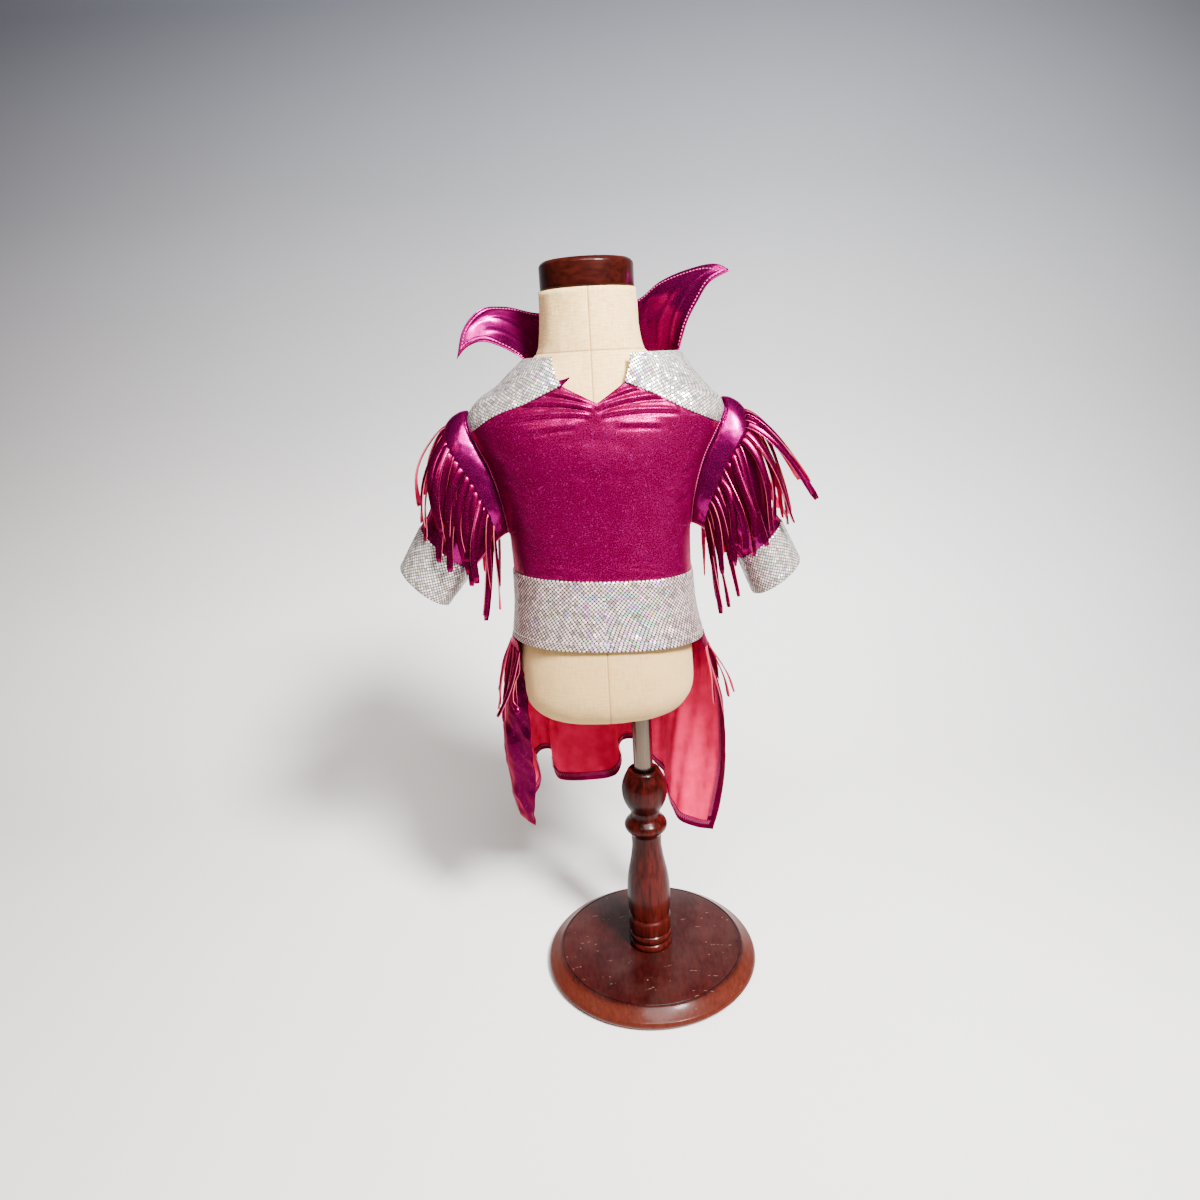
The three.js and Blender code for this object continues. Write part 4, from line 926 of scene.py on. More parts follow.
# --------------------------------------------------------------------------- belly panel
# One layer of magenta foil under the dog's chest and belly. Its neck edge is gathered to
# each side of a small notch, and it is sewn to yokes, armholes, side seams and band.
GATHERS = [
    # x, z, lean, length, width, depth
    (-44, 655, 0.8, 34, 6, 1.8), (-24, 658, 0.45, 30, 5, 2.2), (-9, 648, 0.2, 26, 5, 1.6),
    (15, 651, -0.25, 28, 5, 1.8), (30, 657, -0.5, 32, 6, 2.2), (52, 648, -0.9, 36, 6, 1.6),
]
SWAGS = [
    # side, height at the notch, slope, sag, first and last distance from it, width, height
    (-1, 655.5, 0.44, 0.0034, 4, 66, 1.8, 2.2), (-1, 651, 0.32, 0.0031, 2, 84, 2.0, 3.0),
    (-1, 645.5, 0.16, 0.0021, 5, 88, 2.2, 2.4), (-1, 638, 0.02, 0.0014, 16, 74, 2.8, 1.2),
    (1, 655, 0.48, 0.0036, 4, 70, 1.8, 2.3), (1, 650.5, 0.35, 0.0032, 2, 88, 2.1, 3.1),
    (1, 644.5, 0.19, 0.0022, 6, 82, 2.3, 2.2), (1, 636.5, 0.05, 0.0013, 18, 66, 2.8, 1.1),
]
BELLY_CREASES = [
    (-94, 612, -70, 598, 3.5, -0.9), (-94, 592, -72, 580, 4.0, -0.8), (-90, 560, -68, 556, 4, -0.7),
    (-92, 578, -60, 566, 3.0, -0.5), (-88, 540, -58, 526, 4.0, -0.6), (-30, 590, 26, 584, 6, -0.35),
    (96, 612, 70, 600, 3.5, -0.9), (94, 590, 70, 582, 4.0, -0.8), (90, 562, 66, 556, 4, -0.7),
    (92, 576, 62, 570, 3.0, -0.5), (88, 540, 60, 524, 4.0, -0.6), (-40, 622, 30, 616, 6, -0.3),
    (-60, 500, -20, 494, 4, -0.6), (10, 498, 62, 492, 4, -0.6), (-78, 528, -56, 500, 4, -0.7),
    (80, 530, 60, 498, 4, -0.7), (-44, 512, -34, 492, 3, -0.5), (36, 514, 44, 492, 3, -0.5),
]


def swags(x, z):
    """Curved gathers from the notch outward, each a ridge with a sharp trough below it."""
    rise = np.zeros_like(x)
    for side, height, slope, sag, first, last, width, amount in SWAGS:
        out = side * x
        away = z - (height + slope * out - sag * out**2)
        reach = np.clip((out - first) / 12, 0, 1) * np.clip((last - out) / 22, 0, 1)
        trough = 0.75 * np.exp(-((away + 1.5 * width) / (0.7 * width)) ** 2)
        ridge = np.exp(-(away / width) ** 2) - trough
        rise += amount * ridge * np.sin(reach * np.pi / 2)
    return rise


def gathered(points, v):
    """Depth of the short gathers below the neck edge."""
    x, z = points[..., 0], points[..., 2]
    depth = np.zeros_like(x)
    for fold_x, fold_z, lean, long, width, deep in GATHERS:
        aside = (x - fold_x + lean * (fold_z - z)) / width
        depth += deep * np.exp(-aside**2) * np.exp(-((2 * (fold_z - z) / long) ** 2))
    return depth * np.minimum(1, 6 * (1 - v))


SEAM_SHARE = 0.75  # share of a panel's upper edge that is sewn to the yokes
NOTCH_X, NOTCH_Z = 3, 656


def belly_top(u):
    """Upper edge: the notch in the middle, and a yoke's seam to each side."""
    share = SEAM_SHARE
    out = np.abs(2 * u - 1)
    seam_out = np.clip((out - 1 + share) / share, 0, 1)
    left, right = (front_seam(side, seam_out) for side in ("left", "right"))
    seam = np.where((u < 0.5)[..., None], left, right)
    t = np.clip(out / (1 - share), 0, 1)
    z = NOTCH_Z + (CORNER_Z - NOTCH_Z) * t - SEAM / 2
    x = NOTCH_X + (np.where(u < 0.5, -CORNER_X, CORNER_X) - NOTCH_X) * t
    seam = seam - np.array([0, SEAM / 2])
    return np.where((out > 1 - share)[..., None], seam, pair(angle_at(x, z), z))


def belly_panel():
    """Gathered panel between the two side seams, in front."""
    u, v = grid(176, 150)
    low = lambda t: pair(-89.95 + 179.9 * t, band_top_under(-89.95 + 179.9 * t))
    left, right = (panel_side(side, 89.95, armhole_turn(YOKE_LOW[side][-1][1]))
                   for side in ("left", "right"))
    points, normals, spans = on_bodice(spanned(left, right, low, belly_top, u, v))
    rise = sewn_in(points, spans, (0, 1, 2, 3), dip=0.6, pucker=0.45) - 0.35 * gathered(points, v)
    x, z = points[..., 0], points[..., 2]
    rise += creases(x, z, BELLY_CREASES) + swags(x, z) * np.clip(spans[3] / 5, 0, 1)
    rise += 0.5 * soft_noise(x / 38, z / 30, 2) + 0.16 * soft_noise(x / 11, z / 9, 5)
    points = points + normals * rise[..., None]
    return shell("belly_cloth", points, normals, CLOTH, [BODICE_FOIL, CORAL_KNIT])


def on_dress(piece, *nodes, flat, held="stretched", rests_on=("form_cover",), area=None,
             slot="magenta_foil", with_pieces=()):
    """Rides on the stand and stands for its nodes. flat, the cloth's cut size in metres, is not
    used.
    """
    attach(piece, "root")
    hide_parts(*nodes)


belly = belly_panel()
on_dress(belly, "belly_panel", flat=(0.255, 0.195), area=0.0405)

# ---------------------------------------------------------------------------- back panel
# One layer of magenta foil over the dog's back, from side seam to side seam.
BACK_CREASES = [
    (-96, 600, -60, 582, 5, -0.8), (-92, 560, -58, 566, 5, -0.7), (94, 602, 62, 586, 5, -0.8),
    (92, 566, 60, 572, 5, -0.7), (-30, 690, -40, 650, 4, -0.8), (26, 690, 34, 648, 4, -0.8),
    (-6, 694, -2, 654, 3.5, -0.6), (-50, 500, -8, 494, 5, -0.6), (12, 500, 58, 493, 5, -0.6),
    (-20, 640, 30, 622, 7, -0.5), (-40, 560, 44, 546, 8, -0.5),
]


def back_panel():
    """Creased panel between the two side seams, behind."""
    u, v = grid(176, 100)
    share, gap = SEAM_SHARE, 0.25
    wrap = lambda on: np.stack(
        [np.where(on[..., 0] > 0, on[..., 0] - 360, on[..., 0]), on[..., 1]], -1)
    low = lambda t: pair(-269.95 + 179.9 * t, band_top_under(-269.95 + 179.9 * t))

    def high(t):
        out = np.abs(2 * t - 1)
        seam_out = np.clip((out - 1 + share) / share, 0, 1)
        right = wrap(back_seam("right", seam_out) + np.array([gap, 0]))
        left = back_seam("left", seam_out) - np.array([gap, 0])
        reach = (180 - BACK_TURN - gap) * np.clip(out / (1 - share), 0, 1)
        neck = pair(-180 + np.where(t < 0.5, -reach, reach), NECK_Z)
        seam = np.where((t < 0.5)[..., None], right, left)
        return np.where((out > 1 - share)[..., None], seam, neck)

    right_side, left_side = (
        panel_side(side, 90.05, 360 + ARMHOLE_BACK) for side in ("right", "left"))
    points, normals, spans = on_bodice(
        spanned(lambda t: wrap(right_side(t)), left_side, low, high, u, v))
    x, z = points[..., 0], points[..., 2]
    rise = sewn_in(points, spans, (0, 1, 2, 3), dip=0.6, pucker=0.45) + creases(x, z, BACK_CREASES)
    rise += 0.6 * soft_noise(x / 40, z / 34, 7) + 0.16 * soft_noise(x / 11, z / 9, 8)
    return shell("back_cloth", points + normals * rise[..., None], normals, CLOTH,
                 [BODICE_FOIL, CORAL_KNIT])


back = back_panel()
on_dress(back, "back_panel", flat=(0.275, 0.22), area=0.0465)

# ----------------------------------------------------------------- silver dot-foil pieces
# Yokes, waistband and cuffs are a stretch cloth printed with small round holographic
# foil dots in staggered rows. They are doubled, with the fold or the turned edge outside.


SIDE_SHADE_TONE = (0.30, 0.15, 0.14)
RAINBOW = [
    (0.0, (1.0, 0.36, 0.74)), (0.18, (0.55, 0.38, 1.0)), (0.34, (0.34, 0.80, 1.0)),
    (0.5, (0.36, 1.0, 0.52)), (0.64, (1.0, 0.90, 0.25)), (0.78, (1.0, 1.0, 1.0)),
]
# Middle of the painted highlight and the painted side shade on the silver foil.
PAINTED_LIGHT_MIDDLE = FORM_X * MM + 0.012  # metres along X, where the foil is brightest


def silver_dots(name, gap, tone, pitch, painted_side_shade):
    """Foil dots in a staggered grid at 45 degrees, each with its own brightness and tilt,
    and patches of them coloured, more of them in the middle as a painted highlight. gap is
    the cloth's colour between the dots, and the last argument how strongly painted shade
    darkens and warms the foil towards the sides."""
    made, tree = new_material(name)
    place = cloth_place(tree)
    parts = axes(tree, mapped(tree, place, (1 / pitch, 1 / pitch, 1.0), math.radians(45)))
    cell = put(tree, "ShaderNodeCombineXYZ", {
        k: calc(tree, "FLOOR", parts[k]) for k in (0, 1)}).outputs[0]
    offsets = [calc(tree, "SUBTRACT", calc(tree, "FRACT", parts[k]), 0.5) for k in (0, 1)]
    away = calc(tree, "SQRT", calc(tree, "ADD", *(
        calc(tree, "MULTIPLY", offset, offset) for offset in offsets)))
    dot = remap(tree, away, 0.43, 0.36)
    chance = put(tree, "ShaderNodeTexWhiteNoise", {"Vector": cell}, noise_dimensions="3D")
    picked = channels(tree, chance.outputs["Color"])
    flakes = put(tree, "ShaderNodeTexVoronoi", {
        "Vector": mapped(tree, cell, (0.7, 0.7, 1.0)), "Scale": 1.0, "Randomness": 1.0,
    }).outputs["Color"]
    shared = channels(tree, flakes)
    both = lambda k: calc(tree, "ADD", calc(tree, "MULTIPLY", shared[k], 0.45),
                          calc(tree, "MULTIPLY", picked[k], 0.55))
    patches = calc(tree, "MULTIPLY", calc(
        tree, "SUBTRACT", noise(tree, place, 22.0, 2.0), 0.5), 1.5)
    across = axes(tree, put(tree, "ShaderNodeTexCoord").outputs["Object"])["X"]
    aside = calc(tree, "ABSOLUTE", calc(tree, "SUBTRACT", across, PAINTED_LIGHT_MIDDLE))
    # Painted highlight: coloured dots are more common in the lit middle and fewer towards the
    # sides.
    middle = remap(tree, aside, 0.02, 0.085, 0.22 * painted_side_shade, -0.28 * painted_side_shade)
    level = calc(tree, "ADD", both(0), calc(tree, "ADD", patches, middle))
    colored = calc(tree, "MULTIPLY", calc(tree, "GREATER_THAN", level, 0.70), 0.9)
    bright = ramp(tree, both(2), [
        (share, tuple(part * c for c in tone)) for share, part in ((0.2, 0.35), (0.5, 0.72))
    ] + [(0.72, tone)])
    silver = blend_colors(tree, colored, bright, ramp(tree, shared[1], RAINBOW))
    # Painted shade: the foil turns darker and warmer towards the sides.
    silver = blend_colors(tree, remap(tree, aside, 0.066, 0.10, 0.0, painted_side_shade),
                          silver, SIDE_SHADE_TONE)
    tilt = blend_colors(tree, calc(tree, "MULTIPLY", dot, 0.22), (0.5, 0.5, 1.0), flakes)
    facets = put(tree, "ShaderNodeNormalMap", {"Strength": 1.0, "Color": tilt}, uv_map="cloth")
    return surfaced(made, {
        "Base Color": blend_colors(tree, dot, gap, silver),
        "Roughness": remap(tree, dot, 0.0, 1.0, 0.7, 0.32),
        "Metallic": remap(tree, dot, 0.0, 1.0, 0.0, 0.6),
        "Normal": bumped(tree, dot, 0.25, 0.0003, Normal=facets.outputs[0]),
        "Specular IOR Level": 0.15,
    })


# The band gets strong painted side shade, the yokes and cuffs a little.
BAND_FOIL = silver_dots("band_foil", (0.028, 0.014, 0.014), (1.0, 0.80, 0.76), 0.0030, 0.75)
YOKE_FOIL = silver_dots("yoke_foil", (0.07, 0.055, 0.05), (1.0, 0.98, 0.94), 0.0028, 0.25)


def yoke_neck_edge(side, v):
    """Neck edge: up from the inner corner, then level round the neck to the back."""
    share = 0.25
    top = angle_at(np.array(SIGN[side] * 37.0), np.array(float(NECK_Z)))
    low = front_seam(side, np.array(0.0))
    rise = np.clip(v / share, 0, 1)
    round_neck = np.clip((v - share) / (1 - share), 0, 1)
    up = pair(low[0] + (top - low[0]) * rise, CORNER_Z + (NECK_Z - CORNER_Z) * rise)
    level = pair(top + (SIGN[side] * BACK_TURN - top) * round_neck, NECK_Z)
    return np.where((v < share)[..., None], up, level)


def yoke(side):
    """Shoulder piece between belly panel, armhole, back panel and neck."""
    u, v = grid(64, 120)
    first = armhole_turn(YOKE_LOW[side][-1][1])
    low = lambda t: front_seam(side, t) + np.array([0, SEAM / 2])
    high = lambda t: back_seam(side, t) - np.array([SIGN[side] * 0.25, 0])
    arm = lambda t: armhole_edge(side, first + (ARMHOLE_BACK - first) * t)
    points, normals, spans = on_bodice(
        spanned(lambda t: yoke_neck_edge(side, t), arm, low, high, u, v))
    rise = sewn_in(points, spans, (1, 2, 3), dip=0.25, pucker=0.25, every=10)
    rise += 0.45 * soft_noise(points[..., 0] / 16, points[..., 2] / 14, 21) + 0.9
    points = points + normals * rise[..., None]
    return shell(f"yoke_cloth_{side}", points, normals, 1.3, [YOKE_FOIL, YOKE_FOIL])


for side in ("left", "right"):
    piece = yoke(side)
    on_dress(piece, f"yoke_{side}", flat=(0.075, 0.19), area=0.0095,
             rests_on=("form_cover", "belly_cloth", "back_cloth"), slot="silver_foil")


def facing_tip():
    """Tip of the neck's magenta facing, which stands out past the left yoke's corner."""
    u, v = grid(10, 8)
    corner = front_seam("left", np.array(0.0))
    start = cloth_point(np.array(corner[0]), np.array(corner[1]))
    x = start[0] - 2 + 11 * u
    z = start[2] + 1 + 3 * u + (v - 0.5) * 7 * (1 - 0.85 * u) + 2 * u**2
    turn = angle_at(x, z)
    normals = cloth_normal(turn, z)
    points = cloth_point(turn, z) + normals * (0.5 + 2.2 * u**2)[..., None]
    return shell("facing_tip", points, normals, CLOTH, [GLOSSY_FOIL, CORAL_KNIT])


tip = facing_tip()
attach(tip, "root")

# ------------------------------------------------------------------------------ waistband
# Doubled band all the way round, turned at its lower edge and sewn to the bodice above.
BAND_ROWS = [
    # share down, half sizes to the left, right, front and back
    (0, 93.8, 95.2, 74, 74), (0.5, 95, 97.5, 74.5, 75.5), (1, 99, 105, 78, 80),
]


def band_point(degrees, down, grow=0.0):
    """Point on the band's outside, down from its upper edge as a share."""
    sizes = table_curve(BAND_ROWS, down) + grow
    place = ring_point(degrees, 0.0, sizes, 2.4)
    place[..., 2] = BAND_TOP_Z + (BAND_BOTTOM_Z - BAND_TOP_Z) * down + BAND_TILT * place[..., 0]
    return place


def waistband():
    """Ring of doubled cloth, pulled in at its seam and its row of stitches."""
    u, v = grid(360, 40)
    points = band_point(-360.0 * u, v)
    normals = outward(points, grid_normals(points, True))
    spans = edge_spans(points)
    run = np.cos(np.radians(360 * u)), np.sin(np.radians(360 * u))
    rise = -0.5 * np.exp(-(spans[2] / 1.8) ** 2) - 0.35 * np.exp(-((spans[3] - 8.5) / 0.9) ** 2)
    rise += 0.45 * soft_noise(run[0] * 6, run[1] * 6 + v * 1.4, 31) * np.sin(math.pi * v)
    rise += 0.35 * soft_noise(run[0] * 17, run[1] * 17 + v, 32) * np.exp(-spans[2] / 8)
    rise += 0.35 * soft_noise(run[0] * 13, run[1] * 13 + v, 33) * np.exp(-spans[3] / 10)
    return shell("waistband_cloth", points + normals * rise[..., None], normals, DOUBLED,
                 [BAND_FOIL, BAND_FOIL], loop=True)


band = waistband()
on_dress(band, "waistband", flat=(0.565, 0.072),
         rests_on=("form_cover", "belly_cloth", "back_cloth"), slot="silver_foil")

# -------------------------------------------------------------------------------- sleeves
# Short set-in sleeves for the front legs, one layer of magenta foil, full at the head and
# drawn into a wide cuff. Each hangs open and keeps the folds of its gathered seam.
CUFF_RINGS = {
    # outer x and z, inner x and z of the upper and the lower edge
    "left": ((-186, 539, -134, 491), (-211, 499, -163, 455)),
    "right": ((188, 526, 143, 488), (208, 485, 158, 449)),
}
CUFF_Y = -4
CUFF_DEPTH = (31, 33)
SLEEVE_CREASES = {
    # turn and share down of both ends, width, depth
    "left": [
        (40, 0.25, 60, 0.75, 9, -1.3), (75, 0.2, 85, 0.8, 8, -1.5),
        (110, 0.15, 100, 0.7, 9, -1.3), (140, 0.2, 150, 0.8, 10, -1.2),
        (10, 0.3, 15, 0.8, 10, -1.0),
    ],
    "right": [
        (-40, 0.3, -30, 0.8, 10, -1.2), (30, 0.2, 45, 0.8, 9, -1.4),
        (65, 0.25, 60, 0.7, 8, -1.3), (100, 0.15, 110, 0.75, 9, -1.4),
        (135, 0.2, 130, 0.7, 10, -1.1),
    ],
}


def cuff_ring(side, edge):
    """Centre, half width and direction along the sleeve of a cuff's edge."""
    outer_x, outer_z, inner_x, inner_z = CUFF_RINGS[side][edge]
    outer = np.array([outer_x, CUFF_Y, outer_z], float)
    inner = np.array([inner_x, CUFF_Y, inner_z], float)
    centre = (outer + inner) / 2
    half = outer - centre
    along = unit(np.array([half[2] * SIGN[side], 0, -half[0] * SIGN[side]]))
    return centre, half, along, CUFF_DEPTH[edge]


def cuff_place(ring, turn, grow=0.0):
    """Point on a cuff's edge: 0 degrees is its outer side, 90 its front."""
    centre, half, _, depth = ring
    angle = np.radians(turn)[..., None]
    grow = np.asarray(grow, float)[..., None]
    scale = 1 + grow / np.linalg.norm(half)
    return (centre + half * scale * np.cos(angle)
            + np.array([0, -1, 0]) * (depth + grow) * np.sin(angle))


def sleeve_place(side, turn, t):
    """From the armhole the sleeve runs out, then turns down into the cuff."""
    angle = np.radians(turn)
    top, forward = (1 + np.cos(angle)) / 2, np.sin(angle)
    on = armhole_edge(side, turn, 1.0)
    root = cloth_point(on[..., 0], on[..., 1]) + cloth_normal(on[..., 0], on[..., 1]) * 0.6
    ring = cuff_ring(side, 0)
    end = cuff_place(ring, turn, -0.6) - ring[2] * SEAM / 2
    reach, drop = 12 + 32 * top, 12 + 34 * top
    first = root + np.stack([SIGN[side] * reach, -13 * forward, -0.08 * reach], -1)
    second = end - ring[2] * drop[..., None]
    fold = 1.8 * np.sin(math.pi * t) * np.cos(np.radians(6 * turn + 120 * t))
    out = unit(np.stack([SIGN[side] * np.cos(angle), -forward, 0.4 + 0 * angle], -1))
    t = t[..., None]
    curve = (root * (1 - t) ** 3 + 3 * first * (1 - t) ** 2 * t
             + 3 * second * (1 - t) * t**2 + end * t**3)
    return curve + out * fold[..., None]


def sleeve(side):
    """Creased tube from the armhole to the cuff."""
    u, v = grid(200, 72)
    turn = 360 * u - 180
    points = sleeve_place(side, turn, v)
    normals = outward(points, grid_normals(points, True))
    spans = edge_spans(points)
    rise = creases(turn, v * 100, [
        (a, b * 100, c, d * 100, w, h) for a, b, c, d, w, h in SLEEVE_CREASES[side]])
    x, y = np.cos(np.radians(turn)), np.sin(np.radians(turn))
    ripple = soft_noise(x * 9, y * 9 + v, 41)
    fine = soft_noise(x * 20, y * 20 + v * 2, 42)
    rise += (0.7 * ripple * np.exp(-spans[2] / 12) + 0.9 * ripple * np.exp(-spans[3] / 10)
             + 0.45 * fine)
    rise *= np.clip(np.minimum(spans[2], spans[3]) / 3, 0, 1)
    rise += -0.5 * np.exp(-(spans[2] / 1.5) ** 2)
    return shell(f"sleeve_cloth_{side}", points + normals * rise[..., None], normals, CLOTH,
                 [GLOSSY_FOIL, CORAL_KNIT], loop=True)


def cuff(side):
    """Doubled ring at the end of a sleeve, with its row of stitches sunk in."""
    u, v = grid(160, 24)
    turn = 360 * u - 180
    high, low = cuff_ring(side, 0), cuff_ring(side, 1)
    top = cuff_place(high, turn, 0.4) + high[2] * SEAM / 2
    points = top + (cuff_place(low, turn) - top) * v[..., None]
    normals = outward(points, grid_normals(points, True))
    spans = edge_spans(points)
    x, y = np.cos(np.radians(turn)), np.sin(np.radians(turn))
    rise = -0.4 * np.exp(-((spans[3] - 7) / 0.9) ** 2) + 0.5 * soft_noise(x * 4, y * 4 + v, 51)
    return shell(f"cuff_cloth_{side}", points + normals * rise[..., None], normals, DOUBLED,
                 [YOKE_FOIL, YOKE_FOIL], loop=True)


for side in ("left", "right"):
    piece = sleeve(side)
    on_dress(piece, f"sleeve_{side}", flat=(0.33, 0.09), held="gathered",
             area=0.0241, rests_on=("belly_cloth", "back_cloth"))
    piece = cuff(side)
    on_dress(piece, f"cuff_{side}", flat=(0.205, 0.043), held="stretched",
             rests_on=(f"sleeve_cloth_{side}",), slot="silver_foil")

# --------------------------------------------------------------------------------- collar
# Two stiffened, doubled wings of glossy magenta foil, joined at the centre back and sewn
# round the neck seam. They stand up and sweep out to a point at each side.
WING_GRID = (110, 56)  # steps along and up each wing
COLLAR = {
    # places of the upper edge from the back and of the front edge from the neck, to the point
    "left": {
        "top": [(0, 65, 744), (-28, 62, 743), (-57, 44, 746), (-84, 25, 752), (-107, 12, 750),
                (-124, 4, 732), (-132, -2, 704)],
        "front": [(-74, 0, 705), (-90, 1, 714), (-107, 1, 719), (-122, 0, 714), (-132, -2, 704)],
    },
    "right": {
        "top": [(0, 65, 744), (28, 62, 747), (54, 50, 754), (76, 39, 769), (104, 26, 778),
                (128, 16, 780), (141, 10, 773)],
        "front": [(92, 3, 712), (98, 6, 728), (108, 9, 745), (121, 10, 763), (141, 10, 773)],
    },
}
COLLAR_CREASES = {
    # shares along and up of both ends, width, depth
    "left": [(0.55, 0.1, 0.75, 0.7, 0.03, -1.0), (0.7, 0.1, 0.9, 0.6, 0.03, -1.1),
             (0.4, 0.2, 0.5, 0.9, 0.035, -0.9), (0.2, 0.1, 0.25, 0.8, 0.03, -0.8)],
    "right": [(0.6, 0.1, 0.7, 0.8, 0.03, -1.0), (0.75, 0.1, 0.85, 0.9, 0.03, -1.1),
              (0.45, 0.2, 0.5, 0.95, 0.035, -0.9), (0.25, 0.1, 0.2, 0.8, 0.03, -0.8)],
}


def through(places):
    """Centripetal curve through places, as a function from 0 to 1."""
    places = np.array(places, float)
    ends = [2 * places[0] - places[1], *places, 2 * places[-1] - places[-2]]

    def at(t):
        t = np.asarray(t, float)
        run = np.clip(t, 0, 1) * (len(places) - 1)
        k = np.clip(np.floor(run).astype(int), 0, len(places) - 2)
        p = [np.array(ends)[k + n] for n in range(4)]
        steps = [np.maximum(np.linalg.norm(p[n + 1] - p[n], axis=-1) ** 0.5, 1e-4)
                 for n in range(3)]
        w = (run - k)[..., None]
        d0, d1, d2 = (s[..., None] for s in steps)
        m1 = (p[1] - p[0]) / d0 - (p[2] - p[0]) / (d0 + d1) + (p[2] - p[1]) / d1
        m2 = (p[2] - p[1]) / d1 - (p[3] - p[1]) / (d1 + d2) + (p[3] - p[2]) / d2
        m1, m2 = m1 * d1, m2 * d1
        return ((2 * w**3 - 3 * w**2 + 1) * p[1] + (w**3 - 2 * w**2 + w) * m1
                + (3 * w**2 - 2 * w**3) * p[2] + (w**3 - w**2) * m2)

    return at


def collar_wing(side):
    """Crushed wing between the neck, its upper edge and its front edge."""
    u, v = grid(*WING_GRID)
    foot = lambda t: (cloth_point(SIGN[side] * (179.7 - 89.7 * t), np.full_like(t, NECK_Z))
                      + [0, 0, SEAM])
    start = foot(np.array(0.0))
    top_places = [(start[0], *COLLAR[side]["top"][0][1:])] + COLLAR[side]["top"][1:]
    top = through(top_places)
    front = through([tuple(foot(np.array(1.0)))] + COLLAR[side]["front"])
    back_edge = lambda t: start + (top(np.zeros_like(t)) - start) * t[..., None]
    points = spanned(back_edge, front, foot, top, u, v)
    normals = grid_normals(points)
    if (normals[5:60, 10:40] * [0, 1, 0]).sum() <= 0:
        normals = -normals
    spans = edge_spans(points)
    rise = creases(u, v, COLLAR_CREASES[side])
    rise = 0.4 * rise + 1.1 * (0.4 - np.abs(soft_noise(u * 2.6 + v * 1.4, v * 2.4 - u * 1.6, 61)))
    rise += 0.5 * (0.4 - np.abs(soft_noise(u * 4 - v * 3, v * 4 + u * 4, 63)))
    near = np.minimum(spans[1], spans[3])
    rise = rise * np.clip(near / 4, 0.1, 1) * np.clip(spans[0] / 4, 0, 1)
    rise += -0.35 * np.exp(-((near - 5) / 0.8) ** 2)
    return shell(f"collar_cloth_{side}", points + normals * rise[..., None], normals, 1.5,
                 [GLOSSY_FOIL, GLOSSY_FOIL])


for side in ("left", "right"):
    piece = collar_wing(side)
    on_dress(piece, f"collar_{side}", flat=(0.19, 0.075), held="folded", area=0.0085,
             rests_on=(f"yoke_cloth_{side}", "back_cloth"))

# ----------------------------------------------------------------------------- tail skirt
# Wide gathered panel hung from under the band, round the sides and the back and open in
# front. Its coral back is its inside, and a turned hem closes its lower and front edges.
SKIRT_ROWS = [
    # share along, middle x and y, hem x, y and z
    (0, -86, -36, -91, -26, 198), (0.05, -110, -20, -106, -12, 204), (0.1, -118, 2, -112, 2, 214),
    (0.16, -107, 20, -94, 12, 214), (0.22, -99, 36, -85, 28, 228), (0.28, -98, 54, -91, 52, 241),
    (0.33, -90, 70, -86, 69, 244), (0.38, -76, 82, -72, 78, 238), (0.42, -66, 80, -69, 60, 218),
    (0.46, -54, 77, -60, 48, 214), (0.52, -26, 79, -26, 44, 214), (0.57, -4, 84, 3, 51, 215),
    (0.6, 6, 89, 11, 66, 225), (0.64, 16, 93, 9, 82, 237), (0.68, 28, 93, 17, 93, 241),
    (0.72, 42, 90, 34, 92, 238), (0.76, 58, 82, 52, 80, 216), (0.8, 70, 70, 63, 65, 207),
    (0.84, 75, 54, 64, 49, 192), (0.88, 82, 40, 69, 34, 178), (0.92, 98, 28, 76, 20, 168),
    (0.96, 115, 10, 94, 6, 166), (1, 127, -11, 111, -9, 171),
]
SKIRT_START = -76
SKIRT_SWEEP = -204


def skirt_top(degrees):
    """Place on the seam between the band and the skirt."""
    top = band_point(degrees, np.ones_like(np.asarray(degrees, float)), -1.2)
    return top - [0, 0, SEAM]


def skirt_place(u, v):
    """Place on the skirt, along it and down it, kept clear of the form."""
    row = table_curve(SKIRT_ROWS, u)
    top = skirt_top(SKIRT_START + SKIRT_SWEEP * u)
    first, middle, last = (1 - v) * (1 - 2 * v), 4 * v * (1 - v), v * (2 * v - 1)
    x = first * top[..., 0] + middle * row[..., 0] + last * row[..., 2]
    y = first * top[..., 1] + middle * row[..., 1] + last * row[..., 3]
    z = top[..., 2] + (row[..., 4] - top[..., 2]) * v
    sizes = form_sizes(np.maximum(z, FORM_BOTTOM))
    power = squareness(z)
    clear = 2.4
    reach = ((np.abs(x) / (sizes[..., 1] + clear)) ** power
             + (np.abs(y) / (sizes[..., 3] + clear)) ** power) ** (1 / power)
    push = np.where((z >= FORM_BOTTOM - 4) & (reach < 1), reach, 1.0)
    return np.stack([x / push, y / push, z], -1)


def skirt_folds(u, v):
    """Soft standing folds below the gathered edge, and crushed creases in the foil."""
    fade = np.clip(v * 3, 0, 1)
    wave = np.sin(2 * math.pi * (u * 19 + 0.6 * soft_noise(u * 7, v * 1.2, 71)))
    fold = 1.1 * wave * fade * (1 - 0.3 * v)
    crush = (0.5 * soft_noise(u * 46 + v * 3, v * 13, 72)
             + 0.25 * soft_noise(u * 90, v * 26 + u * 20, 73))
    crushed = 0.35 - np.abs(soft_noise(u * 26 + v * 4, v * 7 - u * 9, 74))
    crushed += 0.3 * (0.3 - np.abs(soft_noise(u * 58 - v * 6, v * 15 + u * 14, 75)))
    crush += (4.6 * crushed * np.exp(-(u / 0.16) ** 2)
              + 1.8 * crushed * np.exp(-((1 - u) / 0.12) ** 2))
    gather = 0.6 * np.sin(2 * math.pi * u * 74) * np.exp(-v * 9)
    return fold + crush * np.clip(v * 5, 0.1, 1) + gather


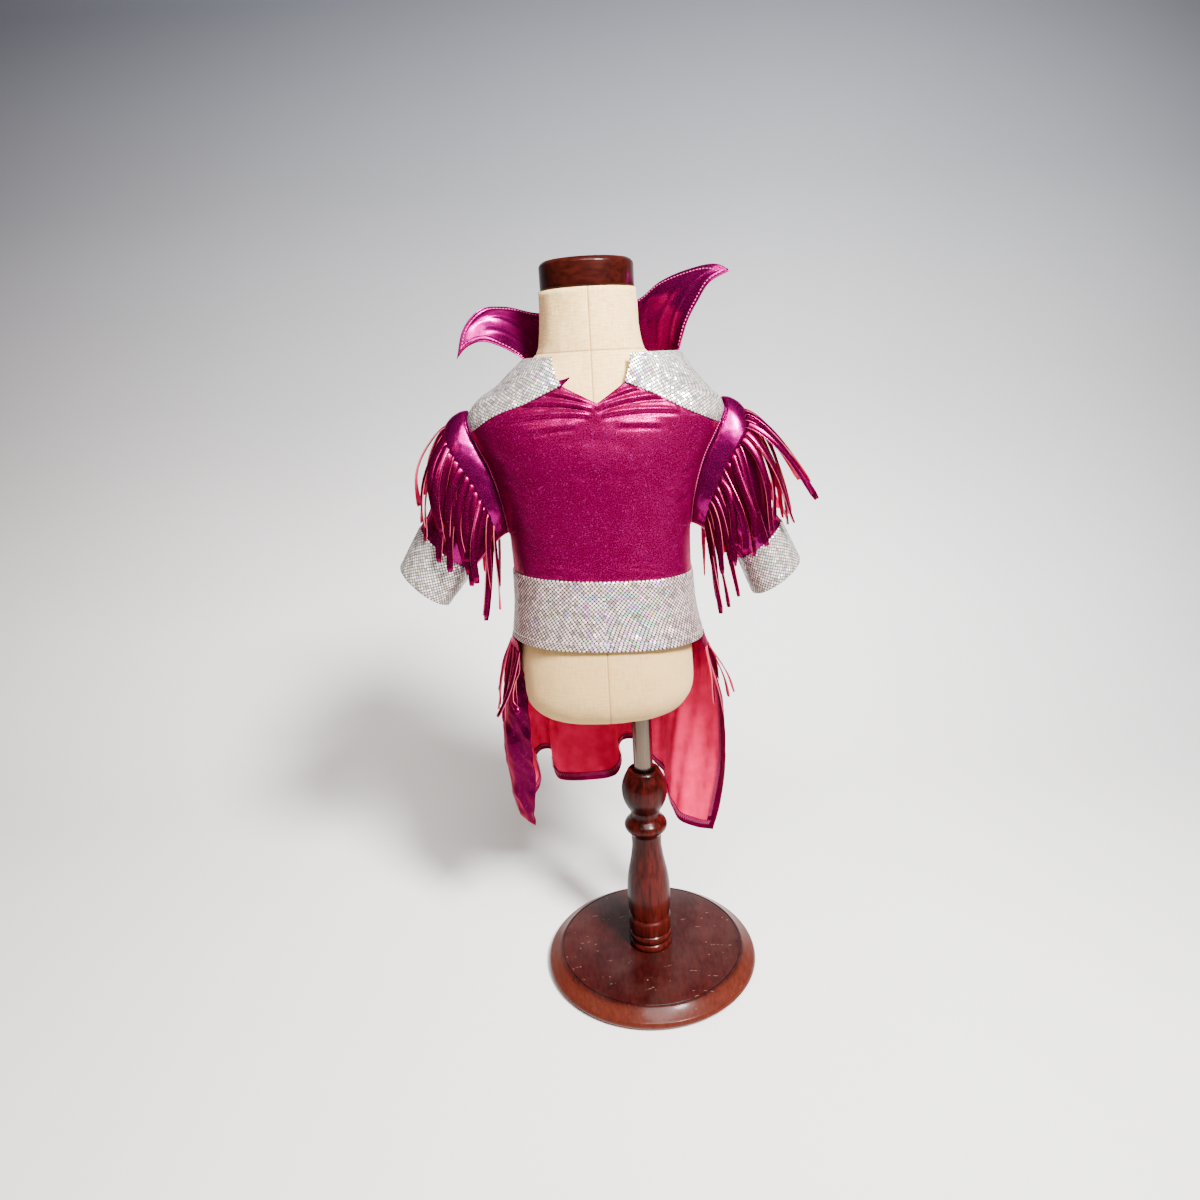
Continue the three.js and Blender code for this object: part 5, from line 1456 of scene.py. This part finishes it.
def skirt():
    """The skirt's outside points and their normals."""
    u, v = grid(400, 100)
    points = skirt_place(u, v)
    normals = grid_normals(points)
    if (normals[150:260] * [0, 1, 0]).sum() < 0:
        normals = -normals
    spans = edge_spans(points)
    rise = skirt_folds(u, v) * np.clip(spans[3] / 6, 0.35, 1)
    return points + normals * rise[..., None], normals


skirt_points, skirt_normals = skirt()
# The skirt's foil is darkened with painted shade.
skirt_piece = shell("skirt_cloth", skirt_points, skirt_normals, CLOTH, [SKIRT_SHADED_FOIL, CORAL_KNIT])

# ------------------------------------------------------------------------------- fringes
# Strips of the same foil, sewn into the armhole seam and under the band, and cut into
# strands. The strands curl, and their cut edges show the pale coral of the back.


def cut_edge():
    """Fuzzy cut edge of the jersey."""
    made, tree = new_material("cut_edge")
    fuzz = noise(tree, cloth_place(tree), 900.0, 3.0)
    return surfaced(made, {
        "Base Color": blend_colors(tree, fuzz, (0.26, 0.015, 0.035), (0.52, 0.09, 0.13)),
        "Roughness": 0.85, "Specular IOR Level": 0.2})


CUT_EDGE = cut_edge()
CHANCE = np.random.default_rng(11)
BENT = np.array([-1, -0.55, 0, 0.55, 1])
STRAND_STEPS = 20
SLEEVE_STRANDS, WAIST_STRANDS = 34, 44
STRIP_OFF = 1.7  # a strip's distance from the cloth that it is sewn on


def strands(name, paths):
    """Ribbons with a bent cross-section. Each path is its middles, the directions across
    and up, the half widths and how far it is bent, down one strand."""
    points, faces, kinds, uv = [], [], [], []
    for number, (middles, across, up, halves, bend) in enumerate(paths):
        count = len(middles)
        first = sum(len(block) for block in points)
        run = np.concatenate([[0], np.cumsum(np.linalg.norm(np.diff(middles, axis=0), axis=-1))])
        ring = []
        for sign, shares in ((1, BENT), (-1, BENT[::-1])):
            for share in shares:
                lift = 0.4 * sign + bend * (0.5 - share**2)
                ring.append(middles + across * (halves * share)[:, None]
                            + up * (lift + 0 * run)[:, None])
                uv_x = (number * 9.0 + halves * share) * MM
                uv.append(np.stack([uv_x, run * MM], -1))
        points.append(np.stack(ring, 1).reshape(-1, 3))
        wide = len(ring)
        uv[-wide:] = [np.stack(uv[-wide:], 1).reshape(-1, 2)]
        for j in range(count - 1):
            here, there = first + wide * j, first + wide * (j + 1)
            for k in range(wide):
                n = (k + 1) % wide
                faces.append((here + k, there + k, there + n, here + n))
                kinds.append(0 if k < 4 else 2 if k == 4 or k == 9 else 1)
        faces.append(tuple(range(first, first + wide)))
        faces.append(tuple(range(first + wide * count - 1, first + wide * (count - 1) - 1, -1)))
        kinds.extend([0, 2])
    # The strands' face is the foil darkened with painted shade.
    return smoothed(np.concatenate(points) + [FORM_X, 0, 0], faces, name,
                    [STRAND_SHADED_FOIL, CORAL_KNIT, CUT_EDGE], np.concatenate(uv), kinds)


def ribbon(middle, across, reference, half, q, curl, phase):
    """One strand's path with its cloth turned a little more the further down it is."""
    along = unit(np.gradient(middle, axis=0))
    across = unit(across - along * (across * along).sum(-1, keepdims=True))
    up = unit(np.cross(across, along))
    up = up * np.sign((up * reference).sum(-1, keepdims=True) + 1e-6)
    twist = (0.55 * curl * q**1.6 + 0.3 * np.sin(6 * q + phase) * q)[:, None]
    narrow = half * (0.92 - 0.16 * q) * (1 - 0.3 * np.clip(q - 0.95, 0, 1) / 0.05)
    return (middle, across * np.cos(twist) + up * np.sin(twist),
            up * np.cos(twist) - across * np.sin(twist), narrow, 0.9 * (1 if curl > -0.3 else -1))


def unevenness(k):
    """How long one strand is cut, from 0 to 1."""
    return 0.5 + 0.5 * np.sin(2.4 * k + 1.3 * np.sin(0.9 * k))


def on_sleeve(side, turn, t, off):
    """Place above the sleeve, with the directions round it and away from it."""
    place = lambda a, b: sleeve_place(side, a, np.clip(b, 0.0, 1.0))
    here = place(turn, t)
    across = unit(place(turn + 0.5, t) - place(turn - 0.5, t))
    down = unit(place(turn, t + 0.01) - place(turn, t - 0.01))
    up = np.cross(across, down)
    centre = cuff_ring(side, 0)[0] * 0.5 + np.array([SIGN[side] * 55.0, 0, 310.0])
    up = up * np.sign((up * (here - centre)).sum(-1, keepdims=True))
    return here + up * np.asarray(off)[..., None], across, up


SLEEVE_HANG = {"left": (26, 5), "right": (10, 9)}
SLEEVE_STRIP = (-135.0, 150.0, 0.25)
FLYERS = {"left": (), "right": (-22, -9, 3, 14, 26, 38)}


def sleeve_fringe(side):
    """Strands and heading of one sleeve's fringe. Under the arm they hang straight down,
    over the shoulder they lie on the sleeve, and the flyers swing free of it."""
    count = SLEEVE_STRANDS
    first_turn, last_turn, reach = SLEEVE_STRIP
    drift, lift = SLEEVE_HANG[side]
    q = np.linspace(0, 1, STRAND_STEPS)
    pitch = (last_turn - first_turn) / count
    half = pitch * 0.52
    paths = []
    for k in range(count):
        turn0 = first_turn + pitch * (k + 0.5)
        under = np.clip((abs(turn0) - 55) / 80, 0, 1)
        ahead = np.clip(turn0 / 25, -1, 1)
        travel = 0.60 - 0.38 * under + 0.12 * CHANCE.uniform(-1, 1)
        fall = 5 + 55 * under + 16 * CHANCE.uniform(0, 1)
        curl, sway, phase = CHANCE.uniform(-1, 1), 1.3 * CHANCE.normal(), CHANCE.uniform(0, 6.28)
        wave = 5.5 * CHANCE.uniform(0.4, 1) * np.sin(4.5 * q + phase) * q
        turn = turn0 + (drift * ahead * (1 - under) + 8 * sway) * q + wave
        high = CHANCE.uniform(0.2, 1)
        rise = ((lift * (1 - under) + 13 * high) * q**1.2
                + 2.5 * high * (1 - np.cos(5 * q + phase * 0.2)) * q)
        t = reach - 0.02 + travel * q
        sunk = 1.3 * np.exp(-(q / 0.03) ** 2)
        middle, across, up = on_sleeve(side, turn, t, 1.5 + rise - sunk)
        arch = (1 - under) * np.sin(np.pi * q) * CHANCE.uniform(0.3, 1)
        middle = middle + np.stack([
            3 * sway * under * q**2 + SIGN[side] * 9 * arch,
            -ahead * (10 * under * q + 6 * arch) + 3 * np.sin(4 * q + phase) * under * q,
            -fall * q**1.5], -1)
        paths.append(ribbon(middle, across, up, half, q, curl, phase))
    for turn0 in FLYERS[side]:
        curl, phase = CHANCE.uniform(-1, 1), CHANCE.uniform(0, 6.28)
        far = CHANCE.uniform(0.75, 1.08)
        root, across, up = on_sleeve(side, *(
            np.full(STRAND_STEPS, value) for value in (turn0, reach - 0.02, 1.8)))
        middle = root + np.stack([
            SIGN[side] * far * 62 * q, -turn0 * 0.5 * q + 3 * np.sin(4 * q + phase) * q,
            far * (-8 * q - 62 * q**1.6)], -1)
        paths.append(ribbon(middle, across, np.array([0, 0, 1.0]), half, q, curl, phase))
    u, v = grid(170, 10)
    points, _, up = on_sleeve(side, first_turn + (last_turn - first_turn) * u,
                              0.02 + (reach - 0.02) * v, STRIP_OFF + 0 * u)
    spans = edge_spans(points)
    rise = 0.35 * soft_noise(u * 26, v * 2, 81) + 0.2 * soft_noise(u * 60, v * 5, 82)
    rise += 0.5 * (1 - np.exp(-spans[2] / 2.5))
    strip = shell(f"sleeve_overlay_{side}", points + up * rise[..., None], up, CLOTH,
                  [GLOSSY_FOIL, CORAL_KNIT])
    return strands(f"sleeve_strands_{side}", paths), strip


def on_seam(cut, strip, node, flat, rests_on):
    """Rides on the stand. flat, the strip's own cut above the strands, is not used."""
    for piece in (cut, strip):
        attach(piece, "root")
        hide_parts(node)


for side in ("left", "right"):
    on_seam(*sleeve_fringe(side), f"sleeve_fringe_{side}", (0.25, 0.022), f"sleeve_cloth_{side}")


def on_skirt(u, drop, off):
    """Place so far down the skirt's outside, or beside its front edges."""
    near = np.clip(u, 0, 1)
    seam_at = lambda share: skirt_top(SKIRT_START + SKIRT_SWEEP * share)
    past = seam_at(u) - seam_at(near)
    height = BAND_BOTTOM_Z - skirt_place(near, np.ones_like(near))[..., 2]
    v = drop / height
    here = skirt_place(near, v)
    across = unit(skirt_place(np.clip(near + 0.004, 0, 1), v)
                  - skirt_place(np.clip(near - 0.004, 0, 1), v))
    down = unit(skirt_place(near, v + 0.01) - skirt_place(near, v - 0.01))
    up = np.cross(across, down)
    up = up * np.sign((up * (here * [1, 1, 0])).sum(-1, keepdims=True))
    return here + past + up * np.asarray(off)[..., None], across, up


def waist_fringe():
    """Strands and heading of the waist's fringe. Past the skirt's front edges they hang
    free, and over the skirt they follow it."""
    count, first, sweep, depth = WAIST_STRANDS, -66.0, -228.0, 12.0
    q = np.linspace(0, 1, STRAND_STEPS)
    along_at = lambda s: (first + sweep * s - SKIRT_START) / SKIRT_SWEEP
    paths = []
    for k in range(count):
        middle_u = along_at((k + 0.5) / count)
        long = 54 + 26 * unevenness(k)
        curl, sway, phase = CHANCE.uniform(-1, 1), CHANCE.normal(), CHANCE.uniform(0, 6.28)
        edge = skirt_top(np.array([first + sweep * k / count, first + sweep * (k + 1) / count]))
        half = np.linalg.norm(edge[1] - edge[0]) / 2
        if middle_u < -0.012 or middle_u > 1.012:
            here, across, up = on_skirt(
                np.full(STRAND_STEPS, middle_u), np.full(STRAND_STEPS, 1.0 + depth * 0.9),
                STRIP_OFF + 0 * q)
            swing = -26 + 9 * (k % 3) if middle_u < 0.5 else 14 - 6 * (k % 3)
            middle = here + np.stack([
                swing * q**1.2 + 2.5 * np.sin(4 * q + phase) * q, -12 * q, -long * q], -1)
        else:
            rise = 4 * q + 2.4 * (1 - np.cos(5 * q + phase * 0.3)) * q
            near_edge = np.exp(-min(middle_u, 1 - middle_u) / 0.05)
            middle, across, up = on_skirt(
                middle_u + 0.006 * sway * q, 1 + depth * 0.9 + long * q, STRIP_OFF + rise)
            middle = middle + up * (9 * near_edge * q**1.5)[:, None]
        paths.append(ribbon(middle, across, up, half, q, curl, phase))
    u, v = grid(260, 6)
    points, _, up = on_skirt(along_at(u), 1.0 + depth * v, STRIP_OFF + 0 * u)
    rise = 0.35 * soft_noise(u * 60, v * 2, 83)
    strip = shell("waist_overlay", points + up * rise[..., None], up, CLOTH,
                  [SKIRT_SHADED_FOIL, CORAL_KNIT])
    return strands("waist_strands", paths), strip


on_seam(*waist_fringe(), "waist_fringe", (0.46, 0.012), "skirt_cloth")

# ------------------------------------------------------------------------ hem of the skirt
# The skirt's lower and front edges are turned to the inside, 9 mm deep, and overlocked.


def purple_turning():
    """The foil's darker tone where it is turned in and pressed."""
    made, tree = new_material("purple_turning")
    tone = noise(tree, cloth_place(tree), 300.0, 4.0)
    return surfaced(made, {
        "Base Color": blend_colors(tree, tone, (0.06, 0.0, 0.010), (0.17, 0.0, 0.04)),
        "Metallic": 0.6, "Roughness": 0.38,
        "Specular Tint": FOIL_TINT, "Specular IOR Level": 0.1})


TURNING = purple_turning()


def turning(name, columns, rows):
    """Strip of the skirt's own surface, laid against its inside."""
    points = (skirt_points - skirt_normals * (CLOTH + 0.35))[columns, rows]
    return shell(name, points, -skirt_normals[columns, rows], 0.6, [TURNING, TURNING])


every = slice(None)
hems = []
for name, columns, rows in (
    ("hem_low", every, slice(-5, None)), ("hem_front_left", slice(0, 9), slice(6, -4)),
    ("hem_front_right", slice(-9, None), slice(6, -4)),
):
    hems.append(turning(name, columns, rows))
    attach(hems[-1], "root")
on_dress(skirt_piece, "skirt_left", "skirt_right", flat=(0.56, 0.245), held="gathered", area=0.0950,
         rests_on=("form_cover", "waistband_cloth"), with_pieces=hems)

# ------------------------------------------------------------------------ seams and threads
# Polyester thread: a row of short stitches on the collar's edges, round the armholes and
# near the waistband's lower edge, and an overlock zigzag over the skirt's turned hem.


def thread_material(name, color):
    """Plain thread."""
    return surfaced(new_material(name)[0], {
        "Base Color": (*color, 1), "Roughness": 0.45, "Sheen Weight": 0.2})


def stitches_group():
    """Short stitches along the edges of a mesh."""
    group, ends, out = new_group(
        "stitches", "GeometryNodeTree",
        [("Geometry", "Geometry"), ("Pitch", "Float"), ("Length", "Float"),
         ("Radius", "Float"), ("Thread", "Material")], [("Geometry", "Geometry")])
    line = put(group, "GeometryNodeMeshToCurve", {"Mesh": ends.outputs["Geometry"]})
    spaced = put(group, "GeometryNodeResampleCurve", {
        "Curve": line.outputs[0], "Length": ends.outputs["Pitch"]}, mode="LENGTH")
    grain = put(group, "GeometryNodeMeshUVSphere", {"Segments": 6, "Rings": 4, "Radius": 1.0})
    halved = calc(group, "MULTIPLY", ends.outputs["Length"], 0.5)
    scale = put(group, "ShaderNodeCombineXYZ", {
        0: halved, 1: ends.outputs["Radius"], 2: ends.outputs["Radius"]})
    stitch = put(group, "GeometryNodeTransform", {
        "Geometry": grain.outputs[0], "Scale": scale.outputs[0]})
    tangent = group.nodes.new("GeometryNodeInputTangent")
    turn = put(group, "FunctionNodeAlignRotationToVector", {"Vector": tangent.outputs[0]}, axis="X")
    placed = put(group, "GeometryNodeInstanceOnPoints", {
        "Points": spaced.outputs[0], "Instance": stitch.outputs[0], "Rotation": turn.outputs[0]})
    real = put(group, "GeometryNodeRealizeInstances", {"Geometry": placed.outputs[0]})
    tinted = put(group, "GeometryNodeSetMaterial", {
        "Geometry": real.outputs[0], "Material": ends.outputs["Thread"]})
    group.links.new(tinted.outputs[0], out.inputs[0])
    return group


STITCHES = stitches_group()


def sewn(name, lines, pitch, length, radius, material):
    """Stitches along lines of points in millimetres from the form's centre line."""
    points, edges = [], []
    for line in lines:
        first = len(points)
        points += ((np.asarray(line) + [FORM_X, 0, 0]) * MM).tolist()
        edges += [(k, k + 1) for k in range(first, len(points) - 1)]
    mesh = bpy.data.meshes.new(name)
    mesh.from_pydata(points, edges, [])
    made = bpy.data.objects.new(name, mesh)
    bpy.context.scene.collection.objects.link(made)
    added = made.modifiers.new("stitches", "NODES")
    added.node_group = STITCHES
    values = {"Pitch": pitch * MM, "Length": length * MM, "Radius": radius * MM, "Thread": material}
    for item in STITCHES.interface.items_tree:
        if item.in_out == "INPUT" and item.name in values:
            added[item.identifier] = values[item.name]
    settle(made)
    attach(made, "root")
    return made


PINK_THREAD = thread_material("pink_thread", (0.62, 0.03, 0.22))
DEEP_THREAD = thread_material("deep_thread", (0.30, 0.0, 0.075))
PALE_THREAD = thread_material("pale_thread", (0.52, 0.46, 0.42))


def armhole_line(side):
    """Line beside the armhole seam, from the yoke's corner round to the back."""
    turns = np.linspace(armhole_turn(YOKE_LOW[side][-1][1]), 308, 150)
    outer, inner = (armhole_edge(side, turns, grow).T for grow in (2.2, 1.2))
    return cloth_point(*inner) * 0.5 + cloth_point(*outer) * 0.5 + cloth_normal(*outer) * 0.55


def collar_lines(side):
    """Lines beside the edges of a wing, on both of its faces."""
    wing = bpy.data.objects[f"collar_cloth_{side}"]
    columns, rows = WING_GRID[0] + 1, WING_GRID[1] + 1
    flat = np.zeros(len(wing.data.vertices) * 3, np.float32)
    wing.data.vertices.foreach_get("co", flat)
    face = flat.reshape(-1, 3)[: 2 * columns * rows].reshape(2, columns, rows, 3) / MM
    face = face - [FORM_X, 0, 0]
    lines = []
    for layer in (0, 1):
        shown = face[layer] + unit(face[layer] - face[1 - layer]) * 0.2
        along, up = columns - 5, rows - 5
        lines += [shown[2:along, up], shown[along, up:4:-1]]
    return lines


sewn("armhole_stitches", [armhole_line(side) for side in ("left", "right")],
     pitch=2.6, length=2.0, radius=0.42, material=PINK_THREAD)
sewn("collar_stitches", [line for side in ("left", "right") for line in collar_lines(side)],
     pitch=3.4, length=2.5, radius=0.42, material=PINK_THREAD)

BAND_STEPS, BAND_ROW_DOWN = 400, 0.895
band_turn = np.radians(np.linspace(0, 360, BAND_STEPS))
ring = band_point(-np.degrees(band_turn), np.full(BAND_STEPS, BAND_ROW_DOWN), 0.55)
sewn("band_stitches_low", [ring], pitch=2.6, length=1.9, radius=0.24, material=PALE_THREAD)


OVERLOCK_STEP = 2.8


def overlock(a, b):
    """Zigzag between two lines of points with a stitch every few millimetres."""
    run = np.concatenate([[0], np.cumsum(np.linalg.norm(np.diff(a, axis=0), axis=-1))])
    places = np.arange(0, run[-1], OVERLOCK_STEP / 2)
    first = np.stack([np.interp(places, run, a[:, k]) for k in range(3)], -1)
    second = np.stack([np.interp(places, run, b[:, k]) for k in range(3)], -1)
    return np.where((np.arange(len(places)) % 2 == 0)[:, None], first, second)


within = skirt_points - skirt_normals * (CLOTH + 1.15)
sewn("hem_overlock", [
    overlock(within[4:-4, -5], within[4:-4, -3]),
    overlock(within[-9, 8:-6], within[-6, 8:-6]), overlock(within[8, 8:-6], within[5, 8:-6]),
], pitch=1.3, length=1.3, radius=0.34, material=DEEP_THREAD)
